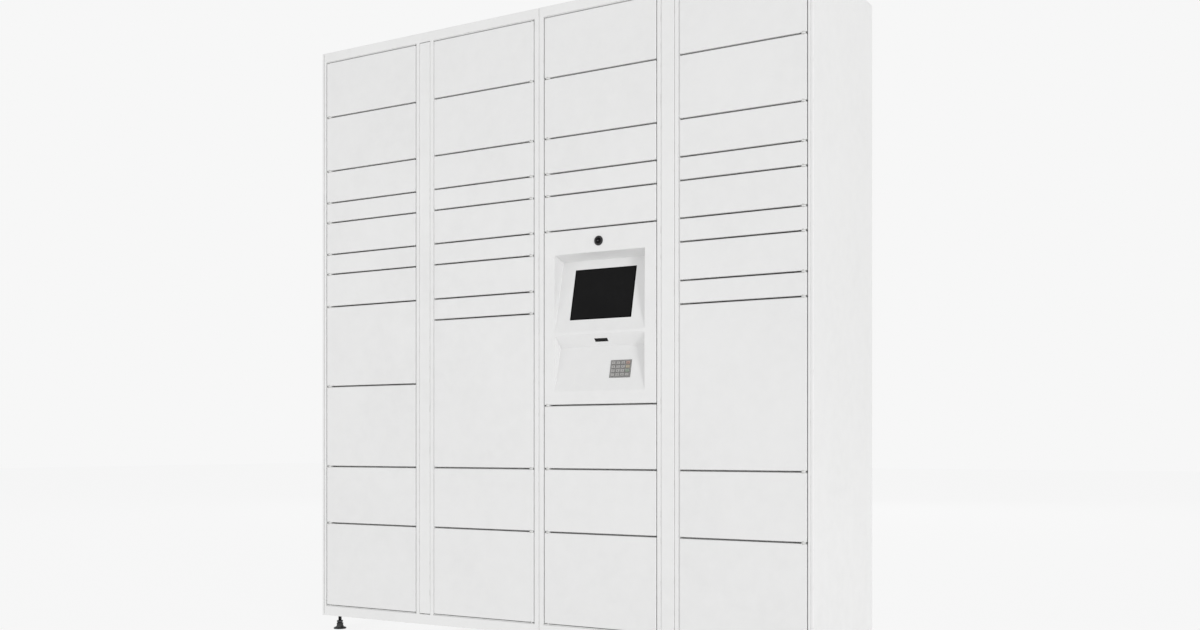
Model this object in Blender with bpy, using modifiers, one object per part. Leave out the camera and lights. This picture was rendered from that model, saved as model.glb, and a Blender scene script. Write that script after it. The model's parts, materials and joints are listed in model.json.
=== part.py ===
"""Parcel locker: two bolted modules of two columns, with a kiosk in the third column.

Metres, +Z up, the doors face -Y. The origin is on the floor, under the middle of the locker's
bounding box. A point in a column is given by `across`, its distance from the column's hinge
side, by `depth`, its distance behind the front face, and by its height above the floor.
"""

import math

import bmesh
import bpy
from mathutils import Matrix, Vector

# Cabinet
FRAME_WIDTH = 1.829
FRAME_HEIGHT = 1.983
CABINET_DEPTH = 0.518
FOOT_HEIGHT = 0.050
MODULE_JOINT = 0.001
SHEET = 0.0015
SHELF_SHEET = 0.002
TOUCH_GAP = 0.0003
THROUGH = 0.005
CUT_OVERLAP = 0.0005

# Column layout, measured from the hinge side
STILE_WIDTH = 0.017
DOOR_SIDE_GAP = 0.003
DOOR_WIDTH = 0.398
DOOR_DEPTH = 0.018
OPENING_END = STILE_WIDTH + DOOR_WIDTH + 2 * DOOR_SIDE_GAP
LOCK_FLANGE = 0.0132
LOCK_WALL = 0.3945
SHELF_FRONT = 0.027
JAMB_DEPTH = 0.025
COVER_GAP = 0.0008
COVER_LEG = 0.020
SEAM_GAP = 0.0004

# Rows, from one shelf to the next
SILL_HEIGHT = 0.036
ROW_GAP = 0.0046
BOTTOM = 0.2905
PARCEL = 0.1992
DEEP = 0.2808
SLIM = 0.0699
WIDE_LETTER = 0.1144
LETTER = 0.1117
UPPER = 0.1899
TOP = 0.1941
TALL = 2 * DEEP - SLIM
KIOSK = 2 * DEEP + WIDE_LETTER + SLIM - PARCEL
HIGH_ROWS = (LETTER, SLIM, LETTER, UPPER, TOP)
COLUMN_ROWS = {
    1: (BOTTOM, PARCEL, DEEP, DEEP, WIDE_LETTER, SLIM) + HIGH_ROWS,
    2: (BOTTOM, PARCEL, TALL, SLIM, WIDE_LETTER, SLIM) + HIGH_ROWS,
    3: (BOTTOM, PARCEL, PARCEL, KIOSK) + HIGH_ROWS,
    4: (BOTTOM, PARCEL, TALL, SLIM, WIDE_LETTER, SLIM) + HIGH_ROWS,
}
KIOSK_COLUMN = 3
KIOSK_ROW = COLUMN_ROWS[KIOSK_COLUMN].index(KIOSK)

# Each column's hinge side and the way it runs from there
HALF_WIDTH = FRAME_WIDTH / 2
HALF_JOINT = MODULE_JOINT / 2
COLUMN_SIDES = {1: (-HALF_WIDTH, 1), 2: (-HALF_JOINT, -1), 3: (HALF_JOINT, 1), 4: (HALF_WIDTH, -1)}
MODULE_COLUMNS = {1: (1, 2), 2: (3, 4)}
MODULE_WIDTH = HALF_WIDTH - HALF_JOINT
COLUMN_REACH = MODULE_WIDTH - OPENING_END - LOCK_FLANGE - SEAM_GAP
COVER_WIDTH = MODULE_WIDTH - 2 * (OPENING_END + LOCK_FLANGE + COVER_GAP)

# Hinges and locks
HINGE_INSET = 0.011
HINGE_DEPTH = 0.007
ROD_RADIUS = 0.004
ROD_HEAD_RADIUS = 0.0052
ROD_HEAD = 0.003
ROD_END = 0.006
ROD_SIDES = 12
BORE_RADIUS = 0.0047
BORE_SIDES = 8
LUG_WIDTH = 0.014
LUG_THICKNESS = 0.003
LUG_TIP_DEPTH = 0.001
LOCK_WIDTH = 0.024
LOCK_DEPTH = 0.078
LOCK_HEIGHT = 0.040
STRIKER_ACROSS = 0.4085
STRIKER_SIZE = (0.003, 0.048, 0.014)
MOUTH_SIZE = (0.011, 0.054, 0.018)

# Levelling feet and their frame
FOOT_INSET = 0.043
FOOT_SIDES = 16
FOOT_PROFILE = (
    (0.0060, FOOT_HEIGHT + 0.0300), (0.0060, 0.0220), (0.0100, 0.0205), (0.0105, 0.0130),
    (0.0180, 0.0095), (0.0220, 0.0050), (0.0220, 0.0000),
)
BASE_BAR_WIDTH = 0.040
BASE_BAR_HEIGHT = 0.006

# Kiosk, with heights above the kiosk door's lower shelf and places across from its middle
RECESS_WIDTH = 0.320
UPPER_RECESS = {"top": 0.4702, "back": (0.052, 0.4542), "foot": 0.2272}
LOWER_RECESS = {"top": 0.2182, "back": (0.033, 0.1822), "foot": 0.0432}
SCREEN_SIZE = (0.2186, 0.1646)
SCREEN_HEIGHT = 0.3452
SCREEN_RIM = 0.010
SCREEN_BODY = 0.032
KEYPAD_SIZE = (0.073, 0.056)
KEYPAD_PLACE = (0.0685, 0.1092)
KEYPAD_RIM = 0.004
KEYPAD_BODY = 0.010
KEYPAD_PROUD = 0.001
KEYPAD_WALL = 0.002
KEY_GRID = 4
KEY_PITCH = (0.0168, 0.0126)
KEY_SIZE = (0.0130, 0.0092)
KEY_CLEARANCE = 0.0004
KEY_PROUD = 0.0022
KEY_CARRIER = 0.002
KEY_CARRIER_DEPTH = 0.0035
KEY_PLATE = 0.0022
SCANNER_SIZE = (0.046, 0.013)
SCANNER_HEIGHT = 0.2002
SCANNER_RIM = 0.003
SCANNER_BODY = 0.022
CAMERA_HEIGHT = 0.5039
CAMERA_PROUD = 0.004
CAMERA_SIDES = 20
CAMERA_BARREL_RADIUS = 0.0118
CAMERA_BARREL = 0.026
CAMERA_PROFILE = (
    (0.0050, 0.0037), (0.0085, 0.0028), (0.0110, 0.0026), (0.0135, 0.0022), (0.0148, 0.0012),
    (0.0148, TOUCH_GAP), (CAMERA_BARREL_RADIUS, TOUCH_GAP), (CAMERA_BARREL_RADIUS, -CAMERA_BARREL),
)
APERTURE_CLEARANCE = 0.0003
DEVICE_STEP = SHEET + 2 * TOUCH_GAP

# Control box behind the kiosk, with its power inlet in the back panel
CONTROL_BOX_SIZE = (0.260, 0.080, 0.300)
CONTROL_BOX_FLOOR = 0.050
INLET_SIZE = (0.048, 0.040)
INLET_CLEARANCE = 0.001

FRONT_Y = (CAMERA_PROUD - CABINET_DEPTH) / 2
ROWS_FLOOR = FOOT_HEIGHT + SILL_HEIGHT
FRAME_TOP = FOOT_HEIGHT + FRAME_HEIGHT
POCKET_FLOOR = ROWS_FLOOR - ROW_GAP / 2
POCKET_TOP = ROWS_FLOOR + sum(COLUMN_ROWS[1]) + ROW_GAP / 2


# ---------------------------------------------------------------- scene and materials

def clear_scene():
    for item in list(bpy.data.objects):
        bpy.data.objects.remove(item, do_unlink=True)


def make_collection(name):
    collection = bpy.data.collections.new(name)
    bpy.context.scene.collection.children.link(collection)
    return collection


def make_material(name, colour, roughness, metallic=0.0):
    material = bpy.data.materials.new(name)
    material.use_nodes = True
    shader = material.node_tree.nodes["Principled BSDF"]
    shader.inputs["Base Color"].default_value = (*colour, 1.0)
    shader.inputs["Roughness"].default_value = roughness
    shader.inputs["Metallic"].default_value = metallic
    return material


clear_scene()
LOCKER = make_collection("parcel_locker")
CUTTERS = make_collection("cutters")
WHITE_POWDER_COAT = make_material("white_powder_coat", (0.80, 0.80, 0.80), 0.45)
DOOR_POWDER_COAT = make_material("door_powder_coat", (0.82, 0.82, 0.82), 0.42)
ZINC_PLATE = make_material("zinc_plate", (0.62, 0.62, 0.62), 0.35, 1.0)
BLACK_STEEL = make_material("black_steel", (0.03, 0.03, 0.03), 0.5)
BLACK_GLASS = make_material("black_glass", (0.01, 0.01, 0.01), 0.08)
BLACK_PLASTIC = make_material("black_plastic", (0.02, 0.02, 0.02), 0.4)
KEYPAD_METAL = make_material("keypad_metal", (0.35, 0.35, 0.35), 0.4, 1.0)
KEY_METAL = make_material("key_metal", (0.60, 0.60, 0.60), 0.35, 1.0)
GREY_PAINT = make_material("grey_paint", (0.25, 0.26, 0.27), 0.5)


# ---------------------------------------------------------------- modelling helpers

def add_object(name, mesh, material, location=(0, 0, 0), rotation=(0, 0, 0)):
    item = bpy.data.objects.new(name, mesh)
    mesh.materials.append(material)
    LOCKER.objects.link(item)
    item.location = location
    item.rotation_euler = rotation
    return item


def add_cutter(name, mesh, location=(0, 0, 0), rotation=(0, 0, 0)):
    item = bpy.data.objects.new(name, mesh)
    CUTTERS.objects.link(item)
    item.location = location
    item.rotation_euler = rotation
    item.hide_render = True
    item.display_type = "WIRE"
    return item


def mesh_from_bmesh(name, bm):
    mesh = bpy.data.meshes.new(name)
    bm.to_mesh(mesh)
    bm.free()
    return mesh


def add_cube(bm, low, high):
    low = Vector(low)
    high = Vector(high)
    size = Matrix.Diagonal((*(high - low), 1.0))
    return bmesh.ops.create_cube(bm, size=1.0, matrix=Matrix.Translation((low + high) / 2) @ size)


def boxes_mesh(name, boxes):
    """One mesh of separate boxes, each a pair of low and high corners."""
    bm = bmesh.new()
    for low, high in boxes:
        add_cube(bm, low, high)
    return mesh_from_bmesh(name, bm)


def add_boxes(name, boxes, location=(0, 0, 0), rotation=(0, 0, 0)):
    """Boxes that cut or join another object."""
    return add_cutter(name, boxes_mesh(name, boxes), location, rotation)


def prism_mesh(name, outline, half_width):
    """An outline of (depth, height) points, extruded along X on both sides of the middle."""
    bm = bmesh.new()
    corners = [bm.verts.new((-half_width, depth, height)) for depth, height in outline]
    face = bm.faces.new(corners)
    grown = bmesh.ops.extrude_face_region(bm, geom=[face])
    moved = [part for part in grown["geom"] if isinstance(part, bmesh.types.BMVert)]
    bmesh.ops.translate(bm, verts=moved, vec=(2 * half_width, 0, 0))
    bmesh.ops.recalc_face_normals(bm, faces=bm.faces)
    return mesh_from_bmesh(name, bm)


def stepped_mesh(name, size, rim, step, body):
    """A block behind a panel, with a smaller face of `size` that comes forward by `step`."""
    half_x = size[0] / 2
    half_z = size[1] / 2
    bm = bmesh.new()
    add_cube(bm, (-half_x - rim, step, -half_z - rim), (half_x + rim, step + body, half_z + rim))
    bm.faces.ensure_lookup_table()
    front = min(bm.faces, key=lambda face: face.calc_center_median().y)
    bmesh.ops.inset_individual(bm, faces=[front], thickness=rim, use_even_offset=True)
    grown = bmesh.ops.extrude_face_region(bm, geom=[front])
    moved = [part for part in grown["geom"] if isinstance(part, bmesh.types.BMVert)]
    bmesh.ops.delete(bm, geom=[front], context="FACES_ONLY")
    bmesh.ops.translate(bm, verts=moved, vec=(0, -step, 0))
    bmesh.ops.recalc_face_normals(bm, faces=bm.faces)
    return mesh_from_bmesh(name, bm)


def profile_mesh(name, profile):
    """An open profile of (radius, height) points, given from its top to its bottom."""
    bm = bmesh.new()
    closed = [(0.0, profile[0][1]), *profile, (0.0, profile[-1][1])]
    verts = [bm.verts.new((radius, 0, height)) for radius, height in closed]
    for upper, lower in zip(verts, verts[1:]):
        bm.edges.new((upper, lower))
    return mesh_from_bmesh(name, bm)


def turn_profile(item, sides):
    screw = item.modifiers.new("turned", "SCREW")
    screw.steps = sides
    screw.render_steps = sides
    screw.use_merge_vertices = True
    screw.merge_threshold = 0.00001
    screw.use_smooth_shade = True
    return screw


def cut(item, cutter):
    boolean = item.modifiers.new("cut_" + cutter.name, "BOOLEAN")
    boolean.operation = "DIFFERENCE"
    boolean.object = cutter
    boolean.solver = "EXACT"


def join(item, other):
    boolean = item.modifiers.new("join_" + other.name, "BOOLEAN")
    boolean.operation = "UNION"
    boolean.object = other
    boolean.solver = "EXACT"


# ---------------------------------------------------------------- places in a column

def column_x(column, across):
    side, turn = COLUMN_SIDES[column]
    return side + turn * across


def depth_y(depth):
    return FRONT_Y + depth


def column_block(column, across, depth, height):
    """Low and high corners of a box given by ranges across, in depth and in height."""
    ends = sorted(column_x(column, value) for value in across)
    low = (ends[0], depth_y(depth[0]), height[0])
    high = (ends[1], depth_y(depth[1]), height[1])
    return low, high


def shelf_heights(column):
    heights = [ROWS_FLOOR]
    for row in COLUMN_ROWS[column]:
        heights.append(heights[-1] + row)
    return heights


def hinge_x(column):
    return column_x(column, STILE_WIDTH + DOOR_SIDE_GAP + HINGE_INSET)


def row_middles(column):
    heights = shelf_heights(column)
    return [(lower + upper) / 2 for lower, upper in zip(heights, heights[1:])]


def column_reach(column):
    """How far the column's roof, floor and back run, to the seam inside the lock channel."""
    own_side = OPENING_END + LOCK_FLANGE
    return COLUMN_REACH if COLUMN_SIDES[column][1] > 0 else own_side


# ---------------------------------------------------------------- cabinet

def compartment_boxes(column):
    heights = shelf_heights(column)
    boxes = []
    for row, (lower, upper) in enumerate(zip(heights, heights[1:])):
        floor = POCKET_FLOOR if row == 0 else lower + SHELF_SHEET / 2
        ceiling = POCKET_TOP if row == len(heights) - 2 else upper - SHELF_SHEET / 2
        inside = (SHELF_FRONT - CUT_OVERLAP, CABINET_DEPTH - SHEET)
        boxes.append(column_block(column, (SHEET, LOCK_WALL), inside, (floor, ceiling)))
    return boxes


def hollow_boxes(column):
    """The compartments, the lock channel, and the hollow header and sill."""
    past_seam = column_reach(column) + THROUGH
    whole = (SHEET, CABINET_DEPTH - SHEET)
    behind = (JAMB_DEPTH + SHEET, CABINET_DEPTH - SHEET)
    channel = (LOCK_WALL + SHEET, past_seam)
    full_width = (SHEET, past_seam)
    header = (POCKET_TOP + SHEET, FRAME_TOP - SHEET)
    sill = (FOOT_HEIGHT - THROUGH, POCKET_FLOOR - SHEET)
    return compartment_boxes(column) + [
        column_block(column, channel, behind, (POCKET_FLOOR, POCKET_TOP)),
        column_block(column, full_width, whole, header),
        column_block(column, full_width, whole, sill),
    ]


def pocket_boxes(column):
    """The mouth of the compartments, and the hollows behind the stile and the lock flange."""
    height = (POCKET_FLOOR, POCKET_TOP)
    folded = (SHEET, SHELF_FRONT)
    past_seam = column_reach(column) + THROUGH
    return [
        column_block(column, (STILE_WIDTH, LOCK_WALL), (-THROUGH, SHELF_FRONT), height),
        column_block(column, (SHEET, STILE_WIDTH - SHEET), folded, height),
        column_block(column, (OPENING_END + SHEET, past_seam), folded, height),
    ]


def front_boxes(column):
    """The step in front of the lock jamb, and the mouth of the lock channel."""
    height = (POCKET_FLOOR, POCKET_TOP)
    flange_end = OPENING_END + LOCK_FLANGE
    step = (LOCK_WALL - CUT_OVERLAP, OPENING_END)
    boxes = [column_block(column, step, (-THROUGH, JAMB_DEPTH), height)]
    if column_reach(column) > flange_end:
        past_seam = column_reach(column) + THROUGH
        boxes.append(column_block(column, (flange_end, past_seam), (-THROUGH, 2 * SHEET), height))
    return boxes


def lug_boxes(column):
    """One hinge lug on the front of each shelf."""
    middle = STILE_WIDTH + DOOR_SIDE_GAP + HINGE_INSET
    across = (middle - LUG_WIDTH / 2, middle + LUG_WIDTH / 2)
    boxes = []
    for height in shelf_heights(column)[1:-1]:
        levels = (height - LUG_THICKNESS / 2, height + LUG_THICKNESS / 2)
        boxes.append(column_block(column, across, (LUG_TIP_DEPTH, SHELF_FRONT + THROUGH), levels))
    return boxes


def lock_boxes(column):
    """One lock housing behind the jamb for each door, on the wall of the lock channel."""
    start = LOCK_WALL + SHEET / 2
    depth = (JAMB_DEPTH + SHEET / 2, JAMB_DEPTH + LOCK_DEPTH)
    boxes = []
    for middle in row_middles(column):
        levels = (middle - LOCK_HEIGHT / 2, middle + LOCK_HEIGHT / 2)
        boxes.append(column_block(column, (start, start + LOCK_WIDTH), depth, levels))
    return boxes


def mouth_boxes(column):
    """The slot in the jamb and in the lock behind it that each striker enters."""
    across = (STRIKER_ACROSS - MOUTH_SIZE[0] / 2, STRIKER_ACROSS + MOUTH_SIZE[0] / 2)
    boxes = []
    for middle in row_middles(column):
        levels = (middle - MOUTH_SIZE[2] / 2, middle + MOUTH_SIZE[2] / 2)
        boxes.append(column_block(column, across, (JAMB_DEPTH - THROUGH, MOUTH_SIZE[1]), levels))
    return boxes


def add_rod_bore(column):
    """A long octagonal bore on the hinge axis, cut from the lugs, the frame and the doors."""
    bm = bmesh.new()
    length = POCKET_TOP - POCKET_FLOOR + 4 * THROUGH
    bmesh.ops.create_cone(
        bm, cap_ends=True, segments=BORE_SIDES, radius1=BORE_RADIUS, radius2=BORE_RADIUS, depth=length
    )
    middle = (POCKET_TOP + POCKET_FLOOR) / 2
    place = (hinge_x(column), depth_y(HINGE_DEPTH), middle)
    turn = (0, 0, math.pi / BORE_SIDES)
    return add_cutter(f"rod_bore_{column}", mesh_from_bmesh("rod_bore", bm), place, turn)


def make_column_body(column, rod_bore):
    whole = column_block(
        column, (0, column_reach(column)), (0, CABINET_DEPTH), (FOOT_HEIGHT, FRAME_TOP)
    )
    name = f"column_{column}_body"
    body = add_object(name, boxes_mesh(name, [whole]), WHITE_POWDER_COAT)
    cut(body, add_boxes(f"hollows_{column}", hollow_boxes(column)))
    cut(body, add_boxes(f"pockets_{column}", pocket_boxes(column)))
    cut(body, add_boxes(f"front_{column}", front_boxes(column)))
    join(body, add_boxes(f"lugs_{column}", lug_boxes(column)))
    join(body, add_boxes(f"locks_{column}", lock_boxes(column)))
    cut(body, add_boxes(f"mouths_{column}", mouth_boxes(column)))
    cut(body, rod_bore)
    if column == KIOSK_COLUMN:
        cut(body, add_boxes("inlet_window", [inlet_window_box()]))
    return body


def make_channel_cover(module):
    """The folded strip over the lock channel between a module's two columns."""
    middle = (column_x(MODULE_COLUMNS[module][0], 0) + column_x(MODULE_COLUMNS[module][1], 0)) / 2
    half = COVER_WIDTH / 2
    floor = POCKET_FLOOR + ROW_GAP / 2
    top = POCKET_TOP - ROW_GAP / 2
    low = (middle - half, depth_y(0), floor)
    high = (middle + half, depth_y(COVER_LEG), top)
    name = f"lock_channel_cover_{module}"
    cover = add_object(name, boxes_mesh(name, [(low, high)]), WHITE_POWDER_COAT)
    inner_low = (low[0] + SHEET, depth_y(SHEET), floor + SHEET)
    inner_high = (high[0] - SHEET, depth_y(COVER_LEG + THROUGH), top - SHEET)
    cut(cover, add_boxes(f"cover_hollow_{module}", [(inner_low, inner_high)]))
    return cover


def make_base_frame(module):
    """A flat-bar ladder inside the sill, carried by four levelling feet."""
    ends = sorted(column_x(column, FOOT_INSET) for column in MODULE_COLUMNS[module])
    depths = (depth_y(FOOT_INSET), depth_y(CABINET_DEPTH - FOOT_INSET))
    half = BASE_BAR_WIDTH / 2
    top = POCKET_FLOOR - SHEET - TOUCH_GAP
    bottom = top - BASE_BAR_HEIGHT
    name = f"base_frame_{module}"
    outer = ((ends[0] - half, depths[0] - half, bottom), (ends[1] + half, depths[1] + half, top))
    frame = add_object(name, boxes_mesh(name, [outer]), BLACK_STEEL)
    inner = (
        (ends[0] + half, depths[0] + half, bottom - THROUGH),
        (ends[1] - half, depths[1] - half, top + THROUGH),
    )
    cut(frame, add_boxes(f"base_gap_{module}", [inner]))
    places = [(x, y, 0) for x in ends for y in depths]
    for number, place in enumerate(places, start=1):
        foot = add_cutter(f"foot_{module}_{number}", profile_mesh("foot", FOOT_PROFILE), place)
        turn_profile(foot, FOOT_SIDES)
        join(frame, foot)
    return frame


def make_hinge_rod(column):
    """A headed rod that carries every door of the column."""
    head = POCKET_TOP + SHEET + TOUCH_GAP
    profile = (
        (ROD_HEAD_RADIUS, head + ROD_HEAD),
        (ROD_HEAD_RADIUS, head),
        (ROD_RADIUS, head),
        (ROD_RADIUS, POCKET_FLOOR - SHEET - ROD_END),
    )
    name = f"hinge_rod_{column}"
    place = (hinge_x(column), depth_y(HINGE_DEPTH), 0)
    rod = add_object(name, profile_mesh(name, profile), ZINC_PLATE, place)
    turn_profile(rod, ROD_SIDES)
    return rod


# ---------------------------------------------------------------- doors

def door_extent(column):
    """The door's low and high X, from its hinge axis."""
    turn = COLUMN_SIDES[column][1]
    return sorted((-turn * HINGE_INSET, turn * (DOOR_WIDTH - HINGE_INSET)))


def pan_mesh(name, column, height):
    """A shallow pan that is open at the back, with its origin on the hinge axis."""
    low_x, high_x = door_extent(column)
    half = height / 2
    bm = bmesh.new()
    add_cube(bm, (low_x, -HINGE_DEPTH, -half), (high_x, DOOR_DEPTH - HINGE_DEPTH, half))
    back = max(bm.faces, key=lambda face: face.calc_center_median().y)
    bmesh.ops.delete(bm, geom=[back], context="FACES_ONLY")
    return mesh_from_bmesh(name, bm)


def add_striker(column, middle, name):
    """The plate at the back of a door that enters the lock."""
    across = (STRIKER_ACROSS - STRIKER_SIZE[0] / 2, STRIKER_ACROSS + STRIKER_SIZE[0] / 2)
    levels = (middle - STRIKER_SIZE[2] / 2, middle + STRIKER_SIZE[2] / 2)
    box = column_block(column, across, (SHEET / 2, STRIKER_SIZE[1]), levels)
    return add_boxes("striker_" + name, [box])


def make_door(name, column, lower, upper, rod_bore):
    middle = (lower + upper) / 2
    height = upper - lower - ROW_GAP
    place = (hinge_x(column), depth_y(HINGE_DEPTH), middle)
    door = add_object(name, pan_mesh(name, column, height), DOOR_POWDER_COAT, place)
    sheet = door.modifiers.new("sheet", "SOLIDIFY")
    sheet.thickness = SHEET
    sheet.offset = -1.0
    sheet.use_even_offset = True
    cut(door, rod_bore)
    join(door, add_striker(column, middle, name))
    return door


def make_doors(column, rod_bore):
    """The column's doors, numbered from the top, without the kiosk door."""
    heights = shelf_heights(column)
    rows = [row for row in range(len(heights) - 1) if (column, row) != (KIOSK_COLUMN, KIOSK_ROW)]
    for number, row in enumerate(reversed(rows), start=1):
        make_door(f"door_{column}_{number:02d}", column, heights[row], heights[row + 1], rod_bore)


# ---------------------------------------------------------------- kiosk

def kiosk_floor():
    return shelf_heights(KIOSK_COLUMN)[KIOSK_ROW]


def kiosk_x():
    return column_x(KIOSK_COLUMN, STILE_WIDTH + DOOR_SIDE_GAP + DOOR_WIDTH / 2)


def recess_slope(recess):
    """Tangent of the slanted panel's lean: depth gained for each metre of height."""
    depth, height = recess["back"]
    return depth / (height - recess["foot"])


def panel_point(recess, height):
    """World Y and Z of a point on the slanted panel, at a height above the kiosk's shelf."""
    return depth_y((height - recess["foot"]) * recess_slope(recess)), kiosk_floor() + height


def recess_outline(recess, wall):
    """Depth and height points of a recess, grown by its wall thickness."""
    depth, height = recess["back"]
    if wall == 0:
        rise = (recess["top"] - height) / depth
        foot_drop = THROUGH / recess_slope(recess)
        front = [(-THROUGH, recess["top"] + rise * THROUGH), (-THROUGH, recess["foot"] - foot_drop)]
    else:
        front = [(SHEET / 2, recess["top"] + wall), (SHEET / 2, recess["foot"] - wall)]
    return [front[0], (depth + wall, height + wall / 2), front[1]]


def add_recess_tool(label, recess, wall):
    outline = recess_outline(recess, wall)
    mesh = prism_mesh(label, outline, RECESS_WIDTH / 2 + wall)
    return add_cutter(label, mesh, (kiosk_x(), FRONT_Y, kiosk_floor()))


def cut_window(door, name, size, placing):
    """A window through a recess's wall for a device that stands at `placing`."""
    half_x = size[0] / 2 + APERTURE_CLEARANCE
    half_z = size[1] / 2 + APERTURE_CLEARANCE
    box = ((-half_x, -THROUGH, -half_z), (half_x, THROUGH, half_z))
    cut(door, add_boxes(name, [box], *placing))


def screen_place():
    y, z = panel_point(UPPER_RECESS, SCREEN_HEIGHT)
    return (kiosk_x(), y, z), (-math.atan(recess_slope(UPPER_RECESS)), 0, 0)


def keypad_place():
    y, z = panel_point(LOWER_RECESS, KEYPAD_PLACE[1])
    return (kiosk_x() + KEYPAD_PLACE[0], y, z), (-math.atan(recess_slope(LOWER_RECESS)), 0, 0)


def scanner_place():
    """The middle of the lower recess's sloping ceiling, which faces forwards and down."""
    depth, height = LOWER_RECESS["back"]
    share = (LOWER_RECESS["top"] - SCANNER_HEIGHT) / (LOWER_RECESS["top"] - height)
    lean = math.atan(depth / (LOWER_RECESS["top"] - height))
    return (kiosk_x(), depth_y(depth * share), kiosk_floor() + SCANNER_HEIGHT), (lean, 0, 0)


def camera_place():
    return (kiosk_x(), FRONT_Y, kiosk_floor() + CAMERA_HEIGHT), (math.pi / 2, 0, 0)


def add_camera_hole():
    bm = bmesh.new()
    radius = CAMERA_BARREL_RADIUS + 2 * APERTURE_CLEARANCE
    bmesh.ops.create_cone(
        bm, cap_ends=True, segments=CAMERA_SIDES, radius1=radius, radius2=radius, depth=4 * THROUGH
    )
    place, rotation = camera_place()
    return add_cutter("camera_hole", mesh_from_bmesh("camera_hole", bm), place, rotation)


def make_kiosk_door(rod_bore):
    floor = kiosk_floor()
    door = make_door("kiosk_door", KIOSK_COLUMN, floor, floor + KIOSK, rod_bore)
    join(door, add_recess_tool("upper_recess_shell", UPPER_RECESS, SHEET))
    join(door, add_recess_tool("lower_recess_shell", LOWER_RECESS, SHEET))
    cut(door, add_recess_tool("upper_recess", UPPER_RECESS, 0))
    cut(door, add_recess_tool("lower_recess", LOWER_RECESS, 0))
    cut_window(door, "screen_window", SCREEN_SIZE, screen_place())
    cut_window(door, "keypad_window", KEYPAD_SIZE, keypad_place())
    cut_window(door, "scanner_window", SCANNER_SIZE, scanner_place())
    cut(door, add_camera_hole())
    return door


def make_touchscreen():
    mesh = stepped_mesh("touchscreen", SCREEN_SIZE, SCREEN_RIM, DEVICE_STEP, SCREEN_BODY)
    return add_object("touchscreen", mesh, BLACK_GLASS, *screen_place())


def make_scanner():
    mesh = stepped_mesh("scanner", SCANNER_SIZE, SCANNER_RIM, DEVICE_STEP, SCANNER_BODY)
    return add_object("scanner", mesh, BLACK_PLASTIC, *scanner_place())


def make_camera():
    """A domed camera in a round bezel, with its barrel through the door."""
    mesh = profile_mesh("camera", CAMERA_PROFILE)
    mesh.vertices[0].co.z = CAMERA_PROUD
    camera = add_object("camera", mesh, BLACK_PLASTIC, *camera_place())
    turn_profile(camera, CAMERA_SIDES)
    return camera


def key_boxes(size, depths):
    """One box for each key of the grid, centred on the keypad."""
    boxes = []
    for column in range(KEY_GRID):
        for row in range(KEY_GRID):
            x = (column - (KEY_GRID - 1) / 2) * KEY_PITCH[0]
            z = (row - (KEY_GRID - 1) / 2) * KEY_PITCH[1]
            low = (x - size[0] / 2, depths[0], z - size[1] / 2)
            high = (x + size[0] / 2, depths[1], z + size[1] / 2)
            boxes.append((low, high))
    return boxes


def make_keypad_frame():
    """The keypad's metal frame, open at the back, with one window for each key."""
    place, rotation = keypad_place()
    step = DEVICE_STEP + KEYPAD_PROUD
    mesh = stepped_mesh("keypad_frame", KEYPAD_SIZE, KEYPAD_RIM, step, KEYPAD_BODY)
    mesh.transform(Matrix.Translation((0, -KEYPAD_PROUD, 0)))
    frame = add_object("keypad_frame", mesh, KEYPAD_METAL, place, rotation)
    half_x = KEYPAD_SIZE[0] / 2 - KEYPAD_WALL
    half_z = KEYPAD_SIZE[1] / 2 - KEYPAD_WALL
    inner = ((-half_x, KEY_PLATE - KEYPAD_PROUD, -half_z), (half_x, KEYPAD_BODY + step, half_z))
    cut(frame, add_boxes("keypad_hollow", [inner], place, rotation))
    window = (KEY_SIZE[0] + 2 * KEY_CLEARANCE, KEY_SIZE[1] + 2 * KEY_CLEARANCE)
    windows = key_boxes(window, (-THROUGH, THROUGH / 2))
    cut(frame, add_boxes("key_windows", windows, place, rotation))
    return frame


def make_keypad_keys():
    """Sixteen keys on one carrier behind the frame."""
    place, rotation = keypad_place()
    half_x = KEYPAD_SIZE[0] / 2 - 2 * KEYPAD_WALL
    half_z = KEYPAD_SIZE[1] / 2 - 2 * KEYPAD_WALL
    back = KEY_CARRIER_DEPTH + KEY_CARRIER
    plate = ((-half_x, KEY_CARRIER_DEPTH, -half_z), (half_x, back, half_z))
    keys = add_object("keypad_keys", boxes_mesh("keypad_keys", [plate]), KEY_METAL, place, rotation)
    caps = key_boxes(KEY_SIZE, (-KEY_PROUD, KEY_CARRIER_DEPTH + KEY_CARRIER / 2))
    join(keys, add_boxes("key_caps", caps, place, rotation))
    return keys


# ---------------------------------------------------------------- control box

def control_box_place():
    """The middle of the control box's back, 0.3 mm in front of the back panel."""
    height = kiosk_floor() + CONTROL_BOX_FLOOR + CONTROL_BOX_SIZE[2] / 2
    return Vector((kiosk_x(), depth_y(CABINET_DEPTH - SHEET - TOUCH_GAP), height))


def inlet_window_box():
    place = control_box_place()
    half = Vector((INLET_SIZE[0] / 2 + INLET_CLEARANCE, THROUGH, INLET_SIZE[1] / 2 + INLET_CLEARANCE))
    return place - half, place + half


def make_control_box():
    """The box of power supply and radio, with its mains inlet set in the back panel."""
    place = control_box_place()
    size = Vector(CONTROL_BOX_SIZE)
    low = place - Vector((size.x / 2, size.y, size.z / 2))
    high = place + Vector((size.x / 2, 0, size.z / 2))
    box = add_object("control_box", boxes_mesh("control_box", [(low, high)]), GREY_PAINT)
    half = Vector((INLET_SIZE[0] / 2, 0, INLET_SIZE[1] / 2))
    inlet = (place - half - Vector((0, THROUGH, 0)), place + half + Vector((0, SHEET, 0)))
    join(box, add_boxes("inlet_boss", [inlet]))
    return box


# ---------------------------------------------------------------- assembly

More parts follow.
